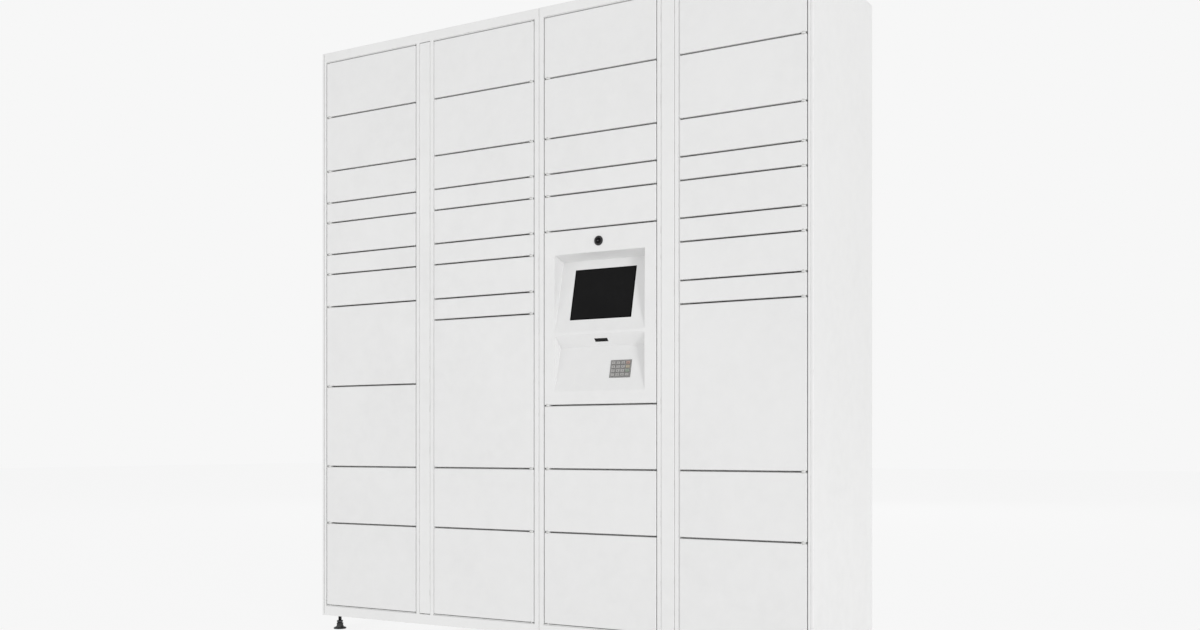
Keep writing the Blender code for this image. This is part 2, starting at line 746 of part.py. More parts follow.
def build_locker():
    for column in COLUMN_SIDES:
        rod_bore = add_rod_bore(column)
        make_column_body(column, rod_bore)
        make_hinge_rod(column)
        make_doors(column, rod_bore)
        if column == KIOSK_COLUMN:
            make_kiosk_door(rod_bore)
    for module in MODULE_COLUMNS:
        make_channel_cover(module)
        make_base_frame(module)
    make_touchscreen()
    make_scanner()
    make_camera()
    make_keypad_frame()
    make_keypad_keys()
    make_control_box()


build_locker()
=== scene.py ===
"""Looks of the parcel locker: folded white sheet steel, glass, keypad, locks and feet.

Metres, +Z up, the doors face -Y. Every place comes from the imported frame's boxes and joints.
"""
import json
import math

import bmesh
import bpy
from mathutils import Matrix, Vector


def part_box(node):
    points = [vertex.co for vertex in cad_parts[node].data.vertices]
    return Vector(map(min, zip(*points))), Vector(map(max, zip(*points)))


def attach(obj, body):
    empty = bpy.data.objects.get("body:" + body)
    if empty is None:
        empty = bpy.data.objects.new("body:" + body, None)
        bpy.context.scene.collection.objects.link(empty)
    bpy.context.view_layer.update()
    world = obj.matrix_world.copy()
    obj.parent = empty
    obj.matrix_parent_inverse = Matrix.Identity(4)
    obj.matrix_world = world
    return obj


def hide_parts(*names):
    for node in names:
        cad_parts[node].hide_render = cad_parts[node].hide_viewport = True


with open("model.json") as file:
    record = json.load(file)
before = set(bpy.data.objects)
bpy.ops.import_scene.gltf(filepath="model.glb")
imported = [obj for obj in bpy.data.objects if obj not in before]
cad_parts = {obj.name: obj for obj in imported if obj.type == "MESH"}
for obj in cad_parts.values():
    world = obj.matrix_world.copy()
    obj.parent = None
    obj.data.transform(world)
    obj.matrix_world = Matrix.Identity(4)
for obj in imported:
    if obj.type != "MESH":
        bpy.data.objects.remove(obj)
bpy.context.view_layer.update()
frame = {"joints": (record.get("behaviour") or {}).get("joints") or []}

# ---------------------------------------------------------------- the locker's own measures

SHEET = 0.0015
FOLD_RADIUS = 0.002
FOLD_STEPS = 3
DOOR_DEPTH = 0.018
DOOR_LIP = 0.010
SIDE_GAP = 0.003
COVER_GAP = 0.0008
COVER_LEG = 0.020
RETURN_DEPTH = 0.025
SHELF_FRONT = 0.027
JAMB_WIDTH = 0.0265
CORNER_LIP = 0.0075
DOOR_FOLD_RADIUS = 0.003
SEAL_WIDTH = 0.0026
SEAL_CLEARANCE = 0.003
SEAL_SETBACK = 0.0005
SEAL_DEPTH = 0.012
SEALED_LOCK_SIDES = (2, 4)
SEAM = 0.0006
BACK_FLANGE = 0.015
SLIM_DOOR = 0.090
LUG_WIDTH = 0.014
LUG_THICKNESS = 0.003
LOCK_SIZE = (0.024, 0.0515, 0.040)
MOUTH = (0.011, 0.018)
STRIKER = (0.003, 0.048, 0.014)
STRIKER_FROM_EDGE = 0.0095
STRIKER_FOOT = 0.024
BACK_FOLD = 0.012
FOOT_INSET = 0.043
BAR_HALF_WIDTH = 0.020
BAR_THICKNESS = 0.006
WELD = 0.00005

COLUMNS = (1, 2, 3, 4)
MODULES = {1: (1, 2), 2: (3, 4)}
KIOSK_COLUMN = 3

BODY_BOXES = {column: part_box(f"column_{column}_body") for column in COLUMNS}
COVER_BOXES = {module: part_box(f"lock_channel_cover_{module}") for module in MODULES}
KIOSK_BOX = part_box("kiosk_door")
HINGES = {joint["child"]: joint for joint in frame["joints"] if joint["type"] == "hinge"}
DOOR_NAMES = sorted(name for name in HINGES if name.startswith("door_"))
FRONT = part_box(DOOR_NAMES[0])[0].y
BACK = BODY_BOXES[1][1].y
FRAME_FOOT = BODY_BOXES[1][0].z
FRAME_TOP = BODY_BOXES[1][1].z


def doors_of(column):
    """The column's door nodes from the bottom to the top, the kiosk door among them."""
    names = [name for name in DOOR_NAMES if name.startswith(f"door_{column}_")]
    if column == KIOSK_COLUMN:
        names.append("kiosk_door")
    return sorted(names, key=lambda name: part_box(name)[0].z)


DOOR_ROWS = {column: [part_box(name) for name in doors_of(column)] for column in COLUMNS}
DOOR_GAP = DOOR_ROWS[1][1][0].z - DOOR_ROWS[1][0][1].z
POCKET_FLOOR = DOOR_ROWS[1][0][0].z - DOOR_GAP
POCKET_TOP = DOOR_ROWS[1][-1][1].z + DOOR_GAP


def turn_of(column):
    """+1 where the column is hinged on its left, -1 where it is hinged on its right."""
    return -int(HINGES[f"door_{column}_01"]["axis"][2])


def hinge_place(column):
    place = HINGES[f"door_{column}_01"]["pos_m"]
    return place[0], place[1]


def shelf_levels(column):
    rows = DOOR_ROWS[column]
    return [(lower[1].z + upper[0].z) / 2 for lower, upper in zip(rows, rows[1:])]


def row_middles(column):
    return [(low.z + high.z) / 2 for low, high in DOOR_ROWS[column]]


def pocket_sides(column):
    """Low and high X of the opening that holds the column's doors."""
    low, high = DOOR_ROWS[column][0]
    return low.x - SIDE_GAP, high.x + SIDE_GAP


def lock_side(column):
    """X of the opening's lock side, and the direction from there to the hinges."""
    low, high = pocket_sides(column)
    return (high, -1) if turn_of(column) > 0 else (low, 1)


def striker_x(column):
    """X of the middle of the column's striker plates."""
    side, inward = lock_side(column)
    return side + inward * (STRIKER_FROM_EDGE + SIDE_GAP)


def outer_side(column):
    """X of the module's side that the column's hinges are next to."""
    low, high = BODY_BOXES[column]
    return low.x if turn_of(column) > 0 else high.x


# ---------------------------------------------------------------- shader node groups

def new_group(name, inputs, outputs):
    """An empty node group with float inputs, given as name and value, and typed outputs."""
    group = bpy.data.node_groups.new(name, "ShaderNodeTree")
    for label, value in inputs:
        socket = group.interface.new_socket(label, in_out="INPUT", socket_type="NodeSocketFloat")
        socket.default_value = value
    for label, kind in outputs:
        group.interface.new_socket(label, in_out="OUTPUT", socket_type=kind)
    enter = group.nodes.new("NodeGroupInput")
    leave = group.nodes.new("NodeGroupOutput")
    place = group.nodes.new("ShaderNodeTexCoord")
    return group, enter, leave, place.outputs["Object"]


def add_noise(tree, place, scale, detail, roughness=0.5):
    noise = tree.nodes.new("ShaderNodeTexNoise")
    noise.inputs["Detail"].default_value = detail
    noise.inputs["Roughness"].default_value = roughness
    tree.links.new(place, noise.inputs["Vector"])
    if isinstance(scale, float):
        noise.inputs["Scale"].default_value = scale
    else:
        tree.links.new(scale, noise.inputs["Scale"])
    return noise.outputs["Fac"]


def add_math(tree, operation, first, second):
    node = tree.nodes.new("ShaderNodeMath")
    node.operation = operation
    for socket, value in zip(node.inputs, (first, second)):
        if isinstance(value, float):
            socket.default_value = value
        else:
            tree.links.new(value, socket)
    return node.outputs["Value"]


def add_range(tree, value, low, high, new_low=0.0, new_high=1.0):
    node = tree.nodes.new("ShaderNodeMapRange")
    tree.links.new(value, node.inputs["Value"])
    node.inputs["From Min"].default_value = low
    node.inputs["From Max"].default_value = high
    node.inputs["To Min"].default_value = new_low
    node.inputs["To Max"].default_value = new_high
    return node.outputs["Result"]


def make_orange_peel():
    """The long soft waves and fine grain that a powder coat cures with."""
    inputs = (("Wave Scale", 420.0), ("Grain Scale", 2600.0), ("Grain Share", 0.25))
    group, enter, leave, place = new_group("orange_peel", inputs, [("Height", "NodeSocketFloat")])
    wave = add_noise(group, place, enter.outputs["Wave Scale"], 2.0)
    grain = add_noise(group, place, enter.outputs["Grain Scale"], 3.0)
    grain = add_math(group, "MULTIPLY", grain, enter.outputs["Grain Share"])
    height = add_math(group, "ADD", wave, grain)
    group.links.new(height, leave.inputs["Height"])
    return group


def make_edge_wear():
    """A broken mask along folded and cut edges, where the finish is rubbed."""
    inputs = (("Patch Scale", 38.0), ("Cover", 0.5))
    group, enter, leave, place = new_group("edge_wear", inputs, [("Mask", "NodeSocketFloat")])
    fold = group.nodes.new("ShaderNodeAttribute")
    fold.attribute_name = "fold"
    patch = add_noise(group, place, enter.outputs["Patch Scale"], 5.0, 0.65)
    start = add_math(group, "SUBTRACT", 1.0, enter.outputs["Cover"])
    rubbed = add_math(group, "SUBTRACT", patch, start)
    rubbed = add_math(group, "MULTIPLY", rubbed, 6.0)
    mask = add_math(group, "MULTIPLY", rubbed, fold.outputs["Fac"])
    mask = add_range(group, mask, 0.0, 1.0)
    group.links.new(mask, leave.inputs["Mask"])
    return group


def make_handling():
    """Soft cloudy variation from wiping, dust and fingers."""
    inputs = (("Cloud Scale", 3.2), ("Smear Scale", 26.0))
    group, enter, leave, place = new_group("handling", inputs, [("Mask", "NodeSocketFloat")])
    cloud = add_noise(group, place, enter.outputs["Cloud Scale"], 3.0)
    smear = add_noise(group, place, enter.outputs["Smear Scale"], 6.0, 0.6)
    mixed = add_math(group, "MULTIPLY", cloud, smear)
    mask = add_range(group, mixed, 0.12, 0.42)
    group.links.new(mask, leave.inputs["Mask"])
    return group


def make_brushing():
    """Fine straight scratches along one direction of a rolled or brushed metal."""
    inputs = (("Line Scale", 900.0), ("Stretch", 0.04))
    group, enter, leave, place = new_group("brushing", inputs, [("Height", "NodeSocketFloat")])
    stretch = group.nodes.new("ShaderNodeCombineXYZ")
    stretch.inputs["Y"].default_value = 1.0
    stretch.inputs["Z"].default_value = 1.0
    group.links.new(enter.outputs["Stretch"], stretch.inputs["X"])
    scaled = group.nodes.new("ShaderNodeVectorMath")
    scaled.operation = "MULTIPLY"
    group.links.new(place, scaled.inputs[0])
    group.links.new(stretch.outputs["Vector"], scaled.inputs[1])
    lines = add_noise(group, scaled.outputs["Vector"], enter.outputs["Line Scale"], 4.0, 0.7)
    group.links.new(lines, leave.inputs["Height"])
    return group


ORANGE_PEEL = make_orange_peel()
EDGE_WEAR = make_edge_wear()
HANDLING = make_handling()
BRUSHING = make_brushing()


# ---------------------------------------------------------------- materials

def start_material(name, colour, roughness, metallic=0.0, coat=0.0):
    """A Principled material with plain values, and the parts that later steps link to."""
    material = bpy.data.materials.new(name)
    material.use_nodes = True
    tree = material.node_tree
    shader = tree.nodes["Principled BSDF"]
    shader.inputs["Base Color"].default_value = (*colour, 1.0)
    shader.inputs["Roughness"].default_value = roughness
    shader.inputs["Metallic"].default_value = metallic
    shader.inputs["Coat Weight"].default_value = coat
    return material, tree, shader


def place_group(tree, group, **values):
    node = tree.nodes.new("ShaderNodeGroup")
    node.node_tree = group
    for label, value in values.items():
        node.inputs[label.replace("_", " ")].default_value = value
    return node


def vary_colour(tree, shader, mask, plain, varied):
    """Base colour from `plain` to `varied` by a mask, on top of what is there already."""
    mix = tree.nodes.new("ShaderNodeMix")
    mix.data_type = "RGBA"
    before = shader.inputs["Base Color"].links
    if before:
        tree.links.new(before[0].from_socket, mix.inputs["A"])
    else:
        mix.inputs["A"].default_value = (*plain, 1.0)
    mix.inputs["B"].default_value = (*varied, 1.0)
    tree.links.new(mask, mix.inputs["Factor"])
    tree.links.new(mix.outputs["Result"], shader.inputs["Base Color"])


def vary_roughness(tree, shader, mask, low, high):
    tree.links.new(add_range(tree, mask, 0.0, 1.0, low, high), shader.inputs["Roughness"])


def add_bump(tree, shader, height, depth, strength=1.0):
    bump = tree.nodes.new("ShaderNodeBump")
    bump.inputs["Distance"].default_value = depth
    bump.inputs["Strength"].default_value = strength
    tree.links.new(height, bump.inputs["Height"])
    tree.links.new(bump.outputs["Normal"], shader.inputs["Normal"])


def powder_coat(name, colour, roughness, rubbed, wave_depth=0.00003):
    """Oven-cured powder on steel: orange peel, soft handling marks and rubbed folds."""
    material, tree, shader = start_material(name, colour, roughness)
    shader.inputs["Specular IOR Level"].default_value = 0.42
    shade = tuple(channel * 0.965 for channel in colour)
    handling = place_group(tree, HANDLING)
    vary_colour(tree, shader, handling.outputs["Mask"], colour, shade)
    vary_roughness(tree, shader, handling.outputs["Mask"], roughness - 0.05, roughness + 0.09)
    wear = place_group(tree, EDGE_WEAR, Cover=0.46)
    vary_colour(tree, shader, wear.outputs["Mask"], colour, rubbed)
    peel = place_group(tree, ORANGE_PEEL)
    add_bump(tree, shader, peel.outputs["Height"], wave_depth)
    return material


def bright_metal(name, colour, roughness, line_scale=900.0):
    """Rolled or plated metal with fine lines, cloudy plating and brighter edges."""
    material, tree, shader = start_material(name, colour, roughness, metallic=1.0)
    dull = tuple(channel * 0.82 for channel in colour)
    handling = place_group(tree, HANDLING, Cloud_Scale=45.0, Smear_Scale=160.0)
    vary_colour(tree, shader, handling.outputs["Mask"], colour, dull)
    vary_roughness(tree, shader, handling.outputs["Mask"], roughness - 0.06, roughness + 0.12)
    lines = place_group(tree, BRUSHING, Line_Scale=line_scale)
    add_bump(tree, shader, lines.outputs["Height"], 0.00002)
    return material


def moulded(name, colour, roughness, grain_scale=1800.0, grain_depth=0.00002):
    """Moulded plastic or rubber with a fine spark-eroded grain."""
    material, tree, shader = start_material(name, colour, roughness)
    shade = tuple(channel * 0.8 for channel in colour)
    handling = place_group(tree, HANDLING, Cloud_Scale=30.0, Smear_Scale=240.0)
    vary_colour(tree, shader, handling.outputs["Mask"], colour, shade)
    vary_roughness(tree, shader, handling.outputs["Mask"], roughness - 0.04, roughness + 0.08)
    grain = place_group(tree, ORANGE_PEEL, Wave_Scale=grain_scale, Grain_Scale=3.0 * grain_scale)
    add_bump(tree, shader, grain.outputs["Height"], grain_depth)
    return material


def black_glass(name, colour, roughness, specular):
    """Cover glass with faint smears, over something dark."""
    material, tree, shader = start_material(name, colour, roughness)
    shader.inputs["Specular IOR Level"].default_value = specular
    smear = place_group(tree, HANDLING, Cloud_Scale=9.0, Smear_Scale=60.0)
    lighter = tuple(channel * 1.25 for channel in colour)
    vary_colour(tree, shader, smear.outputs["Mask"], colour, lighter)
    vary_roughness(tree, shader, smear.outputs["Mask"], roughness, roughness + 0.10)
    return material


CABINET_COAT = powder_coat("cabinet_powder_coat", (0.815, 0.815, 0.812), 0.42, (0.70, 0.70, 0.69))
DOOR_COAT = powder_coat("door_powder_coat", (0.805, 0.805, 0.803), 0.42, (0.70, 0.70, 0.69))
BLACK_COAT = powder_coat("black_steel_coat", (0.022, 0.022, 0.023), 0.48, (0.10, 0.10, 0.10))
GREY_ENAMEL = powder_coat("grey_enamel", (0.25, 0.26, 0.27), 0.45, (0.40, 0.40, 0.40))
ZINC = bright_metal("zinc_plate", (0.60, 0.61, 0.62), 0.34)
FOOT_ZINC = bright_metal("blackened_stud", (0.07, 0.07, 0.075), 0.42)
KEYPAD_PLATE = bright_metal("keypad_plate", (0.37, 0.366, 0.36), 0.50, 1400.0)
KEY_STEEL = bright_metal("key_steel", (0.53, 0.522, 0.51), 0.42, 1400.0)
WHITE_NYLON = moulded("white_nylon", (0.70, 0.70, 0.68), 0.45)
FOOT_RUBBER = moulded("foot_rubber", (0.018, 0.018, 0.018), 0.65, 900.0)
BUMPER_RUBBER = moulded("bumper_rubber", (0.45, 0.45, 0.44), 0.6)
LOCK_PLASTIC = moulded("lock_case_plastic", (0.035, 0.036, 0.038), 0.5, 1200.0)
CAMERA_PLASTIC = moulded("camera_plastic", (0.012, 0.012, 0.013), 0.42)
KEY_RED = moulded("key_red", (0.42, 0.30, 0.26), 0.42)
KEY_YELLOW = moulded("key_yellow", (0.45, 0.40, 0.31), 0.42)
KEY_GREEN = moulded("key_green", (0.32, 0.37, 0.31), 0.42)
KEY_MARK = moulded("key_mark_enamel", (0.03, 0.03, 0.03), 0.5)
GLASS_BORDER = black_glass("glass_border", (0.0006, 0.0006, 0.0007), 0.10, 0.02)
DISPLAY_OFF = black_glass("display_off", (0.0078, 0.0078, 0.0080), 0.16, 0.075)
DOME_GLASS = black_glass("camera_dome_glass", (0.002, 0.002, 0.002), 0.06, 0.14)
# Lighter grey for the lens disc: partly the lens's own tone, partly a painted glint.
LENS_WITH_PAINTED_GLINT = black_glass("lens_painted_glint", (0.07, 0.07, 0.075), 0.12, 0.5)
SCAN_GLASS = black_glass("scanner_glass", (0.002, 0.002, 0.002), 0.10, 0.2)


# ---------------------------------------------------------------- making and finishing pieces

def smooth_by_angle(mesh, degrees=38.0):
    mesh.shade_smooth()
    mesh.set_sharp_from_angle(angle=math.radians(degrees))


def mark_folds(mesh, width=0.0013):
    """Stores 1 on the corners of narrow faces, which are the bends and the cut edges."""
    fold = mesh.attributes.new("fold", "FLOAT", "CORNER")
    for polygon in mesh.polygons:
        points = [mesh.vertices[index].co for index in polygon.vertices]
        around = sum((a - b).length for a, b in zip(points, points[1:] + points[:1]))
        if polygon.area < width * around / 2:
            for corner in polygon.loop_indices:
                fold.data[corner].value = 1.0


def settle(piece):
    """Applies the piece's modifiers, marks its folds and evens out its shading."""
    bpy.context.view_layer.update()
    graph = bpy.context.evaluated_depsgraph_get()
    mesh = bpy.data.meshes.new_from_object(piece.evaluated_get(graph))
    piece.modifiers.clear()
    piece.data = mesh
    mesh.name = piece.name
    mark_folds(mesh)
    smooth_by_angle(mesh)
    even = piece.modifiers.new("even_normals", "WEIGHTED_NORMAL")
    even.keep_sharp = True
    even.weight = 90
    return piece


def make_piece(name, bm, materials, body, stands_for=()):
    """A named object from a bmesh, riding on a body and standing for CAD nodes."""
    mesh = bpy.data.meshes.new(name)
    bm.to_mesh(mesh)
    bm.free()
    for material in materials:
        mesh.materials.append(material)
    piece = bpy.data.objects.new(name, mesh)
    bpy.context.scene.collection.objects.link(piece)
    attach(piece, body)
    if stands_for:
        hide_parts(*stands_for)
    return piece


def round_edges(piece, radius, steps=2, angle=30.0):
    bevel = piece.modifiers.new("rounded", "BEVEL")
    bevel.width = radius
    bevel.segments = steps
    bevel.limit_method = "ANGLE"
    bevel.angle_limit = math.radians(angle)
    bevel.use_clamp_overlap = True


def thicken(piece, thickness=SHEET, even=True):
    """Gives an open surface its sheet thickness, on the side away from its faces."""
    sheet = piece.modifiers.new("sheet", "SOLIDIFY")
    sheet.thickness = thickness
    sheet.offset = -1.0
    sheet.use_even_offset = even


def finish_sheet(piece, radius=FOLD_RADIUS, thickness=SHEET, angle=30.0):
    round_edges(piece, radius, FOLD_STEPS, angle)
    thicken(piece, thickness)
    return settle(piece)


def finish_block(piece, radius, steps=2):
    round_edges(piece, radius, steps)
    return settle(piece)


def add_block(bm, low, high):
    low = Vector(low)
    high = Vector(high)
    size = Matrix.Diagonal((*(high - low), 1.0))
    bmesh.ops.create_cube(bm, size=1.0, matrix=Matrix.Translation((low + high) / 2) @ size)


def add_ring(bm, x_range, z_range, y):
    """Four corners in the plane at depth y, anticlockwise as seen from the front."""
    corners = ((0, 0), (1, 0), (1, 1), (0, 1))
    return [bm.verts.new((x_range[i], y, z_range[j])) for i, j in corners]


def draw_rims(bm, edges, depth):
    """Extrudes open edges into walls that run back by depth, or forward if it is negative."""
    grown = bmesh.ops.extrude_edge_only(bm, edges=edges)
    moved = [part for part in grown["geom"] if isinstance(part, bmesh.types.BMVert)]
    bmesh.ops.translate(bm, verts=moved, vec=(0, depth, 0))


def bridge_rings(bm, front, behind):
    for index in range(4):
        after = (index + 1) % 4
        bm.faces.new((front[after], front[index], behind[index], behind[after]))


def shrink(limits, amount):
    return limits[0] + amount, limits[1] - amount


def add_pan(bm, x_range, z_range, front, depth, lip):
    """A sheet folded back on four sides, with lips folded in behind."""
    face = add_ring(bm, x_range, z_range, front)
    rear = add_ring(bm, x_range, z_range, front + depth)
    bm.faces.new(face)
    bridge_rings(bm, face, rear)
    if lip:
        inner = add_ring(bm, shrink(x_range, lip), shrink(z_range, lip), front + depth)
        bridge_rings(bm, rear, inner)


def add_folded(bm, path, ends, axis):
    """A sheet along a path of two coordinates, running between two ends of the third axis."""
    def corner(point, end):
        values = list(point)
        values.insert("xyz".index(axis), end)
        return bm.verts.new(values)
    first = [corner(point, ends[0]) for point in path]
    last = [corner(point, ends[1]) for point in path]
    for index in range(len(path) - 1):
        bm.faces.new((first[index], first[index + 1], last[index + 1], last[index]))


def add_pierced(bm, across, up, holes, place):
    """A grid of cells without the holes. `place` turns across and up values into a point."""
    points = [[bm.verts.new(place(a, u)) for u in up] for a in across]
    for i in range(len(across) - 1):
        for j in range(len(up) - 1):
            if (i, j) not in holes:
                bm.faces.new((points[i][j], points[i + 1][j], points[i + 1][j + 1], points[i][j + 1]))
    loose = [vert for vert in bm.verts if not vert.link_faces]
    bmesh.ops.delete(bm, geom=loose, context="VERTS")


def add_turned(bm, profile, steps, place=Matrix.Identity(4)):
    """Turns (radius, height) points about Z. A radius of 0 closes an end."""
    rings = []
    for radius, height in profile:
        count = 1 if radius == 0 else steps
        angles = [2 * math.pi * step / steps for step in range(count)]
        spots = [(radius * math.cos(a), radius * math.sin(a), height) for a in angles]
        rings.append([bm.verts.new(place @ Vector(spot)) for spot in spots])
    for upper, lower in zip(rings, rings[1:]):
        for step in range(steps):
            after = (step + 1) % steps
            corners = [upper[step % len(upper)], upper[after % len(upper)]]
            corners += [lower[after % len(lower)], lower[step % len(lower)]]
            bm.faces.new(list(dict.fromkeys(reversed(corners))))


def arc_points(centre, radius, start, end, steps):
    """Points of a round corner in a profile, with angles in degrees."""
    angles = [math.radians(start + (end - start) * step / steps) for step in range(steps + 1)]
    return [(centre[0] + radius * math.cos(a), centre[1] + radius * math.sin(a)) for a in angles]


# ---------------------------------------------------------------- cabinet sheets

def make_face_frame(module):
    """The front sheet of a module: header, sill, stiles and lock flanges, folded back."""
    first, second = MODULES[module]
    name = f"face_frame_{module}"
    cover_low, cover_high = COVER_BOXES[module]
    channel = (cover_low.x - COVER_GAP, cover_high.x + COVER_GAP)
    left, right = outer_side(first), outer_side(second)
    left += CORNER_LIP + SEAM if module == 1 else 0
    right -= CORNER_LIP + SEAM if module == 2 else 0
    across = (left, *pocket_sides(first), *channel, *pocket_sides(second), right)
    up = (FRAME_FOOT, POCKET_FLOOR, POCKET_TOP, FRAME_TOP)
    bm = bmesh.new()
    add_pierced(bm, across, up, {(1, 1), (3, 1), (5, 1)}, lambda x, z: Vector((x, FRONT, z)))
    fold_back(bm, left, right)
    stands = (f"column_{first}_body", f"column_{second}_body")
    piece = make_piece(name, bm, [CABINET_COAT], "cabinet", stands)
    return finish_sheet(piece)


def fold_back(bm, left, right):
    """Folds the front sheet's edges back: the top as far as the back, the others a little."""
    rims = [edge for edge in bm.edges if edge.is_boundary]
    ends = {"top": [], "foot": [], "left": [], "right": [], "pockets": []}
    for edge in rims:
        a, b = (vert.co for vert in edge.verts)
        if a.z == b.z and abs(a.z - FRAME_TOP) < SEAM:
            ends["top"].append(edge)
        elif a.z == b.z and abs(a.z - FRAME_FOOT) < SEAM:
            ends["foot"].append(edge)
        elif a.x == b.x and abs(a.x - left) < SEAM:
            ends["left"].append(edge)
        elif a.x == b.x and abs(a.x - right) < SEAM:
            ends["right"].append(edge)
        else:
            ends["pockets"].append(edge)
    for end, edges in ends.items():
        depth = BACK - FRONT - SHEET if end == "top" else RETURN_DEPTH
        draw_rims(bm, edges, depth)


def make_side_panel(column):
    """A module's side. On the locker's own sides it wraps round the front and the back."""
    side = outer_side(column)
    inward = turn_of(column)
    at_end = column in (COLUMNS[0], COLUMNS[-1])
    bm = bmesh.new()
    if at_end:
        path = [
            (side + inward * CORNER_LIP, FRONT),
            (side, FRONT),
            (side, BACK),
            (side + inward * BACK_FLANGE, BACK),
        ]
    else:
        side += inward * SEAM / 2
        path = [(side, FRONT + RETURN_DEPTH), (side, BACK), (side + inward * BACK_FLANGE, BACK)]
    if inward < 0:
        path.reverse()
    top = FRAME_TOP - (0 if at_end else SHEET)
    add_folded(bm, path, (FRAME_FOOT, top), "z")
    bmesh.ops.reverse_faces(bm, faces=bm.faces)
    stands = (f"column_{column}_body",)
    piece = make_piece(f"side_panel_{column}", bm, [CABINET_COAT], "cabinet", stands)
    return finish_sheet(piece)


def make_lock_wall(column):
    """The wall of the lock channel, with a slotted jamb that the strikers enter."""
    side, inward = lock_side(column)
    wall = side + inward * JAMB_WIDTH
    middles = row_middles(column)
    up = [POCKET_FLOOR]
    for middle in middles:
        up += [middle - MOUTH[1] / 2, middle + MOUTH[1] / 2]
    up.append(POCKET_TOP)
    slot = striker_x(column)
    across = sorted((side, slot - MOUTH[0] / 2, slot + MOUTH[0] / 2, wall))
    holes = {(1, 2 * row + 1) for row in range(len(middles))}
    bm = bmesh.new()
    jamb = FRONT + RETURN_DEPTH
    add_pierced(bm, across, up, holes, lambda x, z: Vector((x, jamb, z)))
    rims = [edge for edge in bm.edges if all(abs(vert.co.x - wall) < SEAM for vert in edge.verts)]
    draw_rims(bm, rims, BACK - jamb - 2 * SHEET)
    piece = make_piece(f"lock_wall_{column}", bm, [CABINET_COAT], "cabinet")
    return finish_sheet(piece)


def make_shelves(column):
    """The column's shelves with hemmed front edges, its ceiling and its floor."""
    side, inward = lock_side(column)
    wall = side + inward * (JAMB_WIDTH + SHEET / 2)
    ends = sorted((outer_side(column) + inward * -SHEET, wall))
    hem = 0.012
    front = FRONT + SHELF_FRONT
    rear = BACK - 2 * SHEET
    bm = bmesh.new()
    for level in shelf_levels(column):
        under = level - 0.0022
        path = [(front + hem, under), (front, under), (front, level + 0.001), (rear, level + 0.001)]
        add_folded(bm, path, ends, "x")
    add_folded(bm, [(front - SHEET, POCKET_FLOOR), (rear, POCKET_FLOOR)], ends, "x")
    add_folded(bm, [(rear, POCKET_TOP), (front - SHEET, POCKET_TOP)], ends, "x")
    piece = make_piece(f"shelves_{column}", bm, [CABINET_COAT], "cabinet")
    return finish_sheet(piece, 0.0009, 0.0010)


def make_hinge_lugs(column):
    """One lug welded to the front of each shelf, with a nylon washer on each face."""
    x, y = hinge_place(column)
    lugs = bmesh.new()
    washers = bmesh.new()
    for level in shelf_levels(column):
        add_lug(lugs, x, y, level)
        for side in (-1, 1):
            ring = [(0.0045, 0.0), (0.0068, 0.0), (0.0068, 0.0005 * side), (0.0045, 0.0005 * side)]
            place = Matrix.Translation((x, y, level + side * LUG_THICKNESS / 2))
            add_turned(washers, ring[::side], 20, place)
    piece = make_piece(f"hinge_lugs_{column}", lugs, [CABINET_COAT], "cabinet")
    finish_block(piece, 0.0004)
    piece = make_piece(f"hinge_washers_{column}", washers, [WHITE_NYLON], "cabinet")
    return settle(piece)


def add_lug(bm, x, y, level):
    """A tongue from the shelf to just behind the front, with a round nose about the rod."""
    nose = [
        (x + px, y + py)
        for px, py in arc_points((0, 0), LUG_WIDTH / 2, 180, 360, 12)
    ]
    nose = [(px, max(py, FRONT + 0.001)) for px, py in nose]
    outline = nose + [(x + LUG_WIDTH / 2, FRONT + 0.040), (x - LUG_WIDTH / 2, FRONT + 0.040)]
    low = level - LUG_THICKNESS / 2
    verts = [bm.verts.new((px, py, low)) for px, py in outline]
    face = bm.faces.new(verts)
    grown = bmesh.ops.extrude_face_region(bm, geom=[face])
    moved = [part for part in grown["geom"] if isinstance(part, bmesh.types.BMVert)]
    bmesh.ops.translate(bm, verts=moved, vec=(0, 0, LUG_THICKNESS))
    bmesh.ops.recalc_face_normals(bm, faces=bm.faces)


def make_gap_seals(column):
    """White strips in the gaps above and below the doors, and beside columns 2 and 4."""
    low, high = pocket_sides(column)
    bm = bmesh.new()
    ends = (low + SEAL_CLEARANCE, high - SEAL_CLEARANCE)
    front = FRONT + SEAL_SETBACK
    back = FRONT + SEAL_DEPTH
    add_block(bm, (ends[0], front, POCKET_TOP - SEAL_WIDTH), (ends[1], back, POCKET_TOP - SEAM))
    add_block(bm, (ends[0], front, POCKET_FLOOR + SEAM), (ends[1], back, POCKET_FLOOR + SEAL_WIDTH))
    side, inward = lock_side(column)
    if column in SEALED_LOCK_SIDES:
        across = sorted((side + inward * SEAM, side + inward * SEAL_WIDTH))
        up = (POCKET_FLOOR + DOOR_GAP, POCKET_TOP - DOOR_GAP)
        add_block(bm, (across[0], front, up[0]), (across[1], back, up[1]))
    piece = make_piece(f"gap_seals_{column}", bm, [CABINET_COAT], "cabinet")
    finish_block(piece, 0.0003)


def make_channel_cover(module):
    """The folded strip that closes the lock channel between two columns."""
    low, high = COVER_BOXES[module]
    name = f"channel_cover_{module}"
    bm = bmesh.new()
    add_pan(bm, (low.x, high.x), (low.z, high.z), FRONT, COVER_LEG, 0)
    stands = (f"lock_channel_cover_{module}",)
    piece = make_piece(name, bm, [CABINET_COAT], "cabinet", stands)
    return finish_sheet(piece)


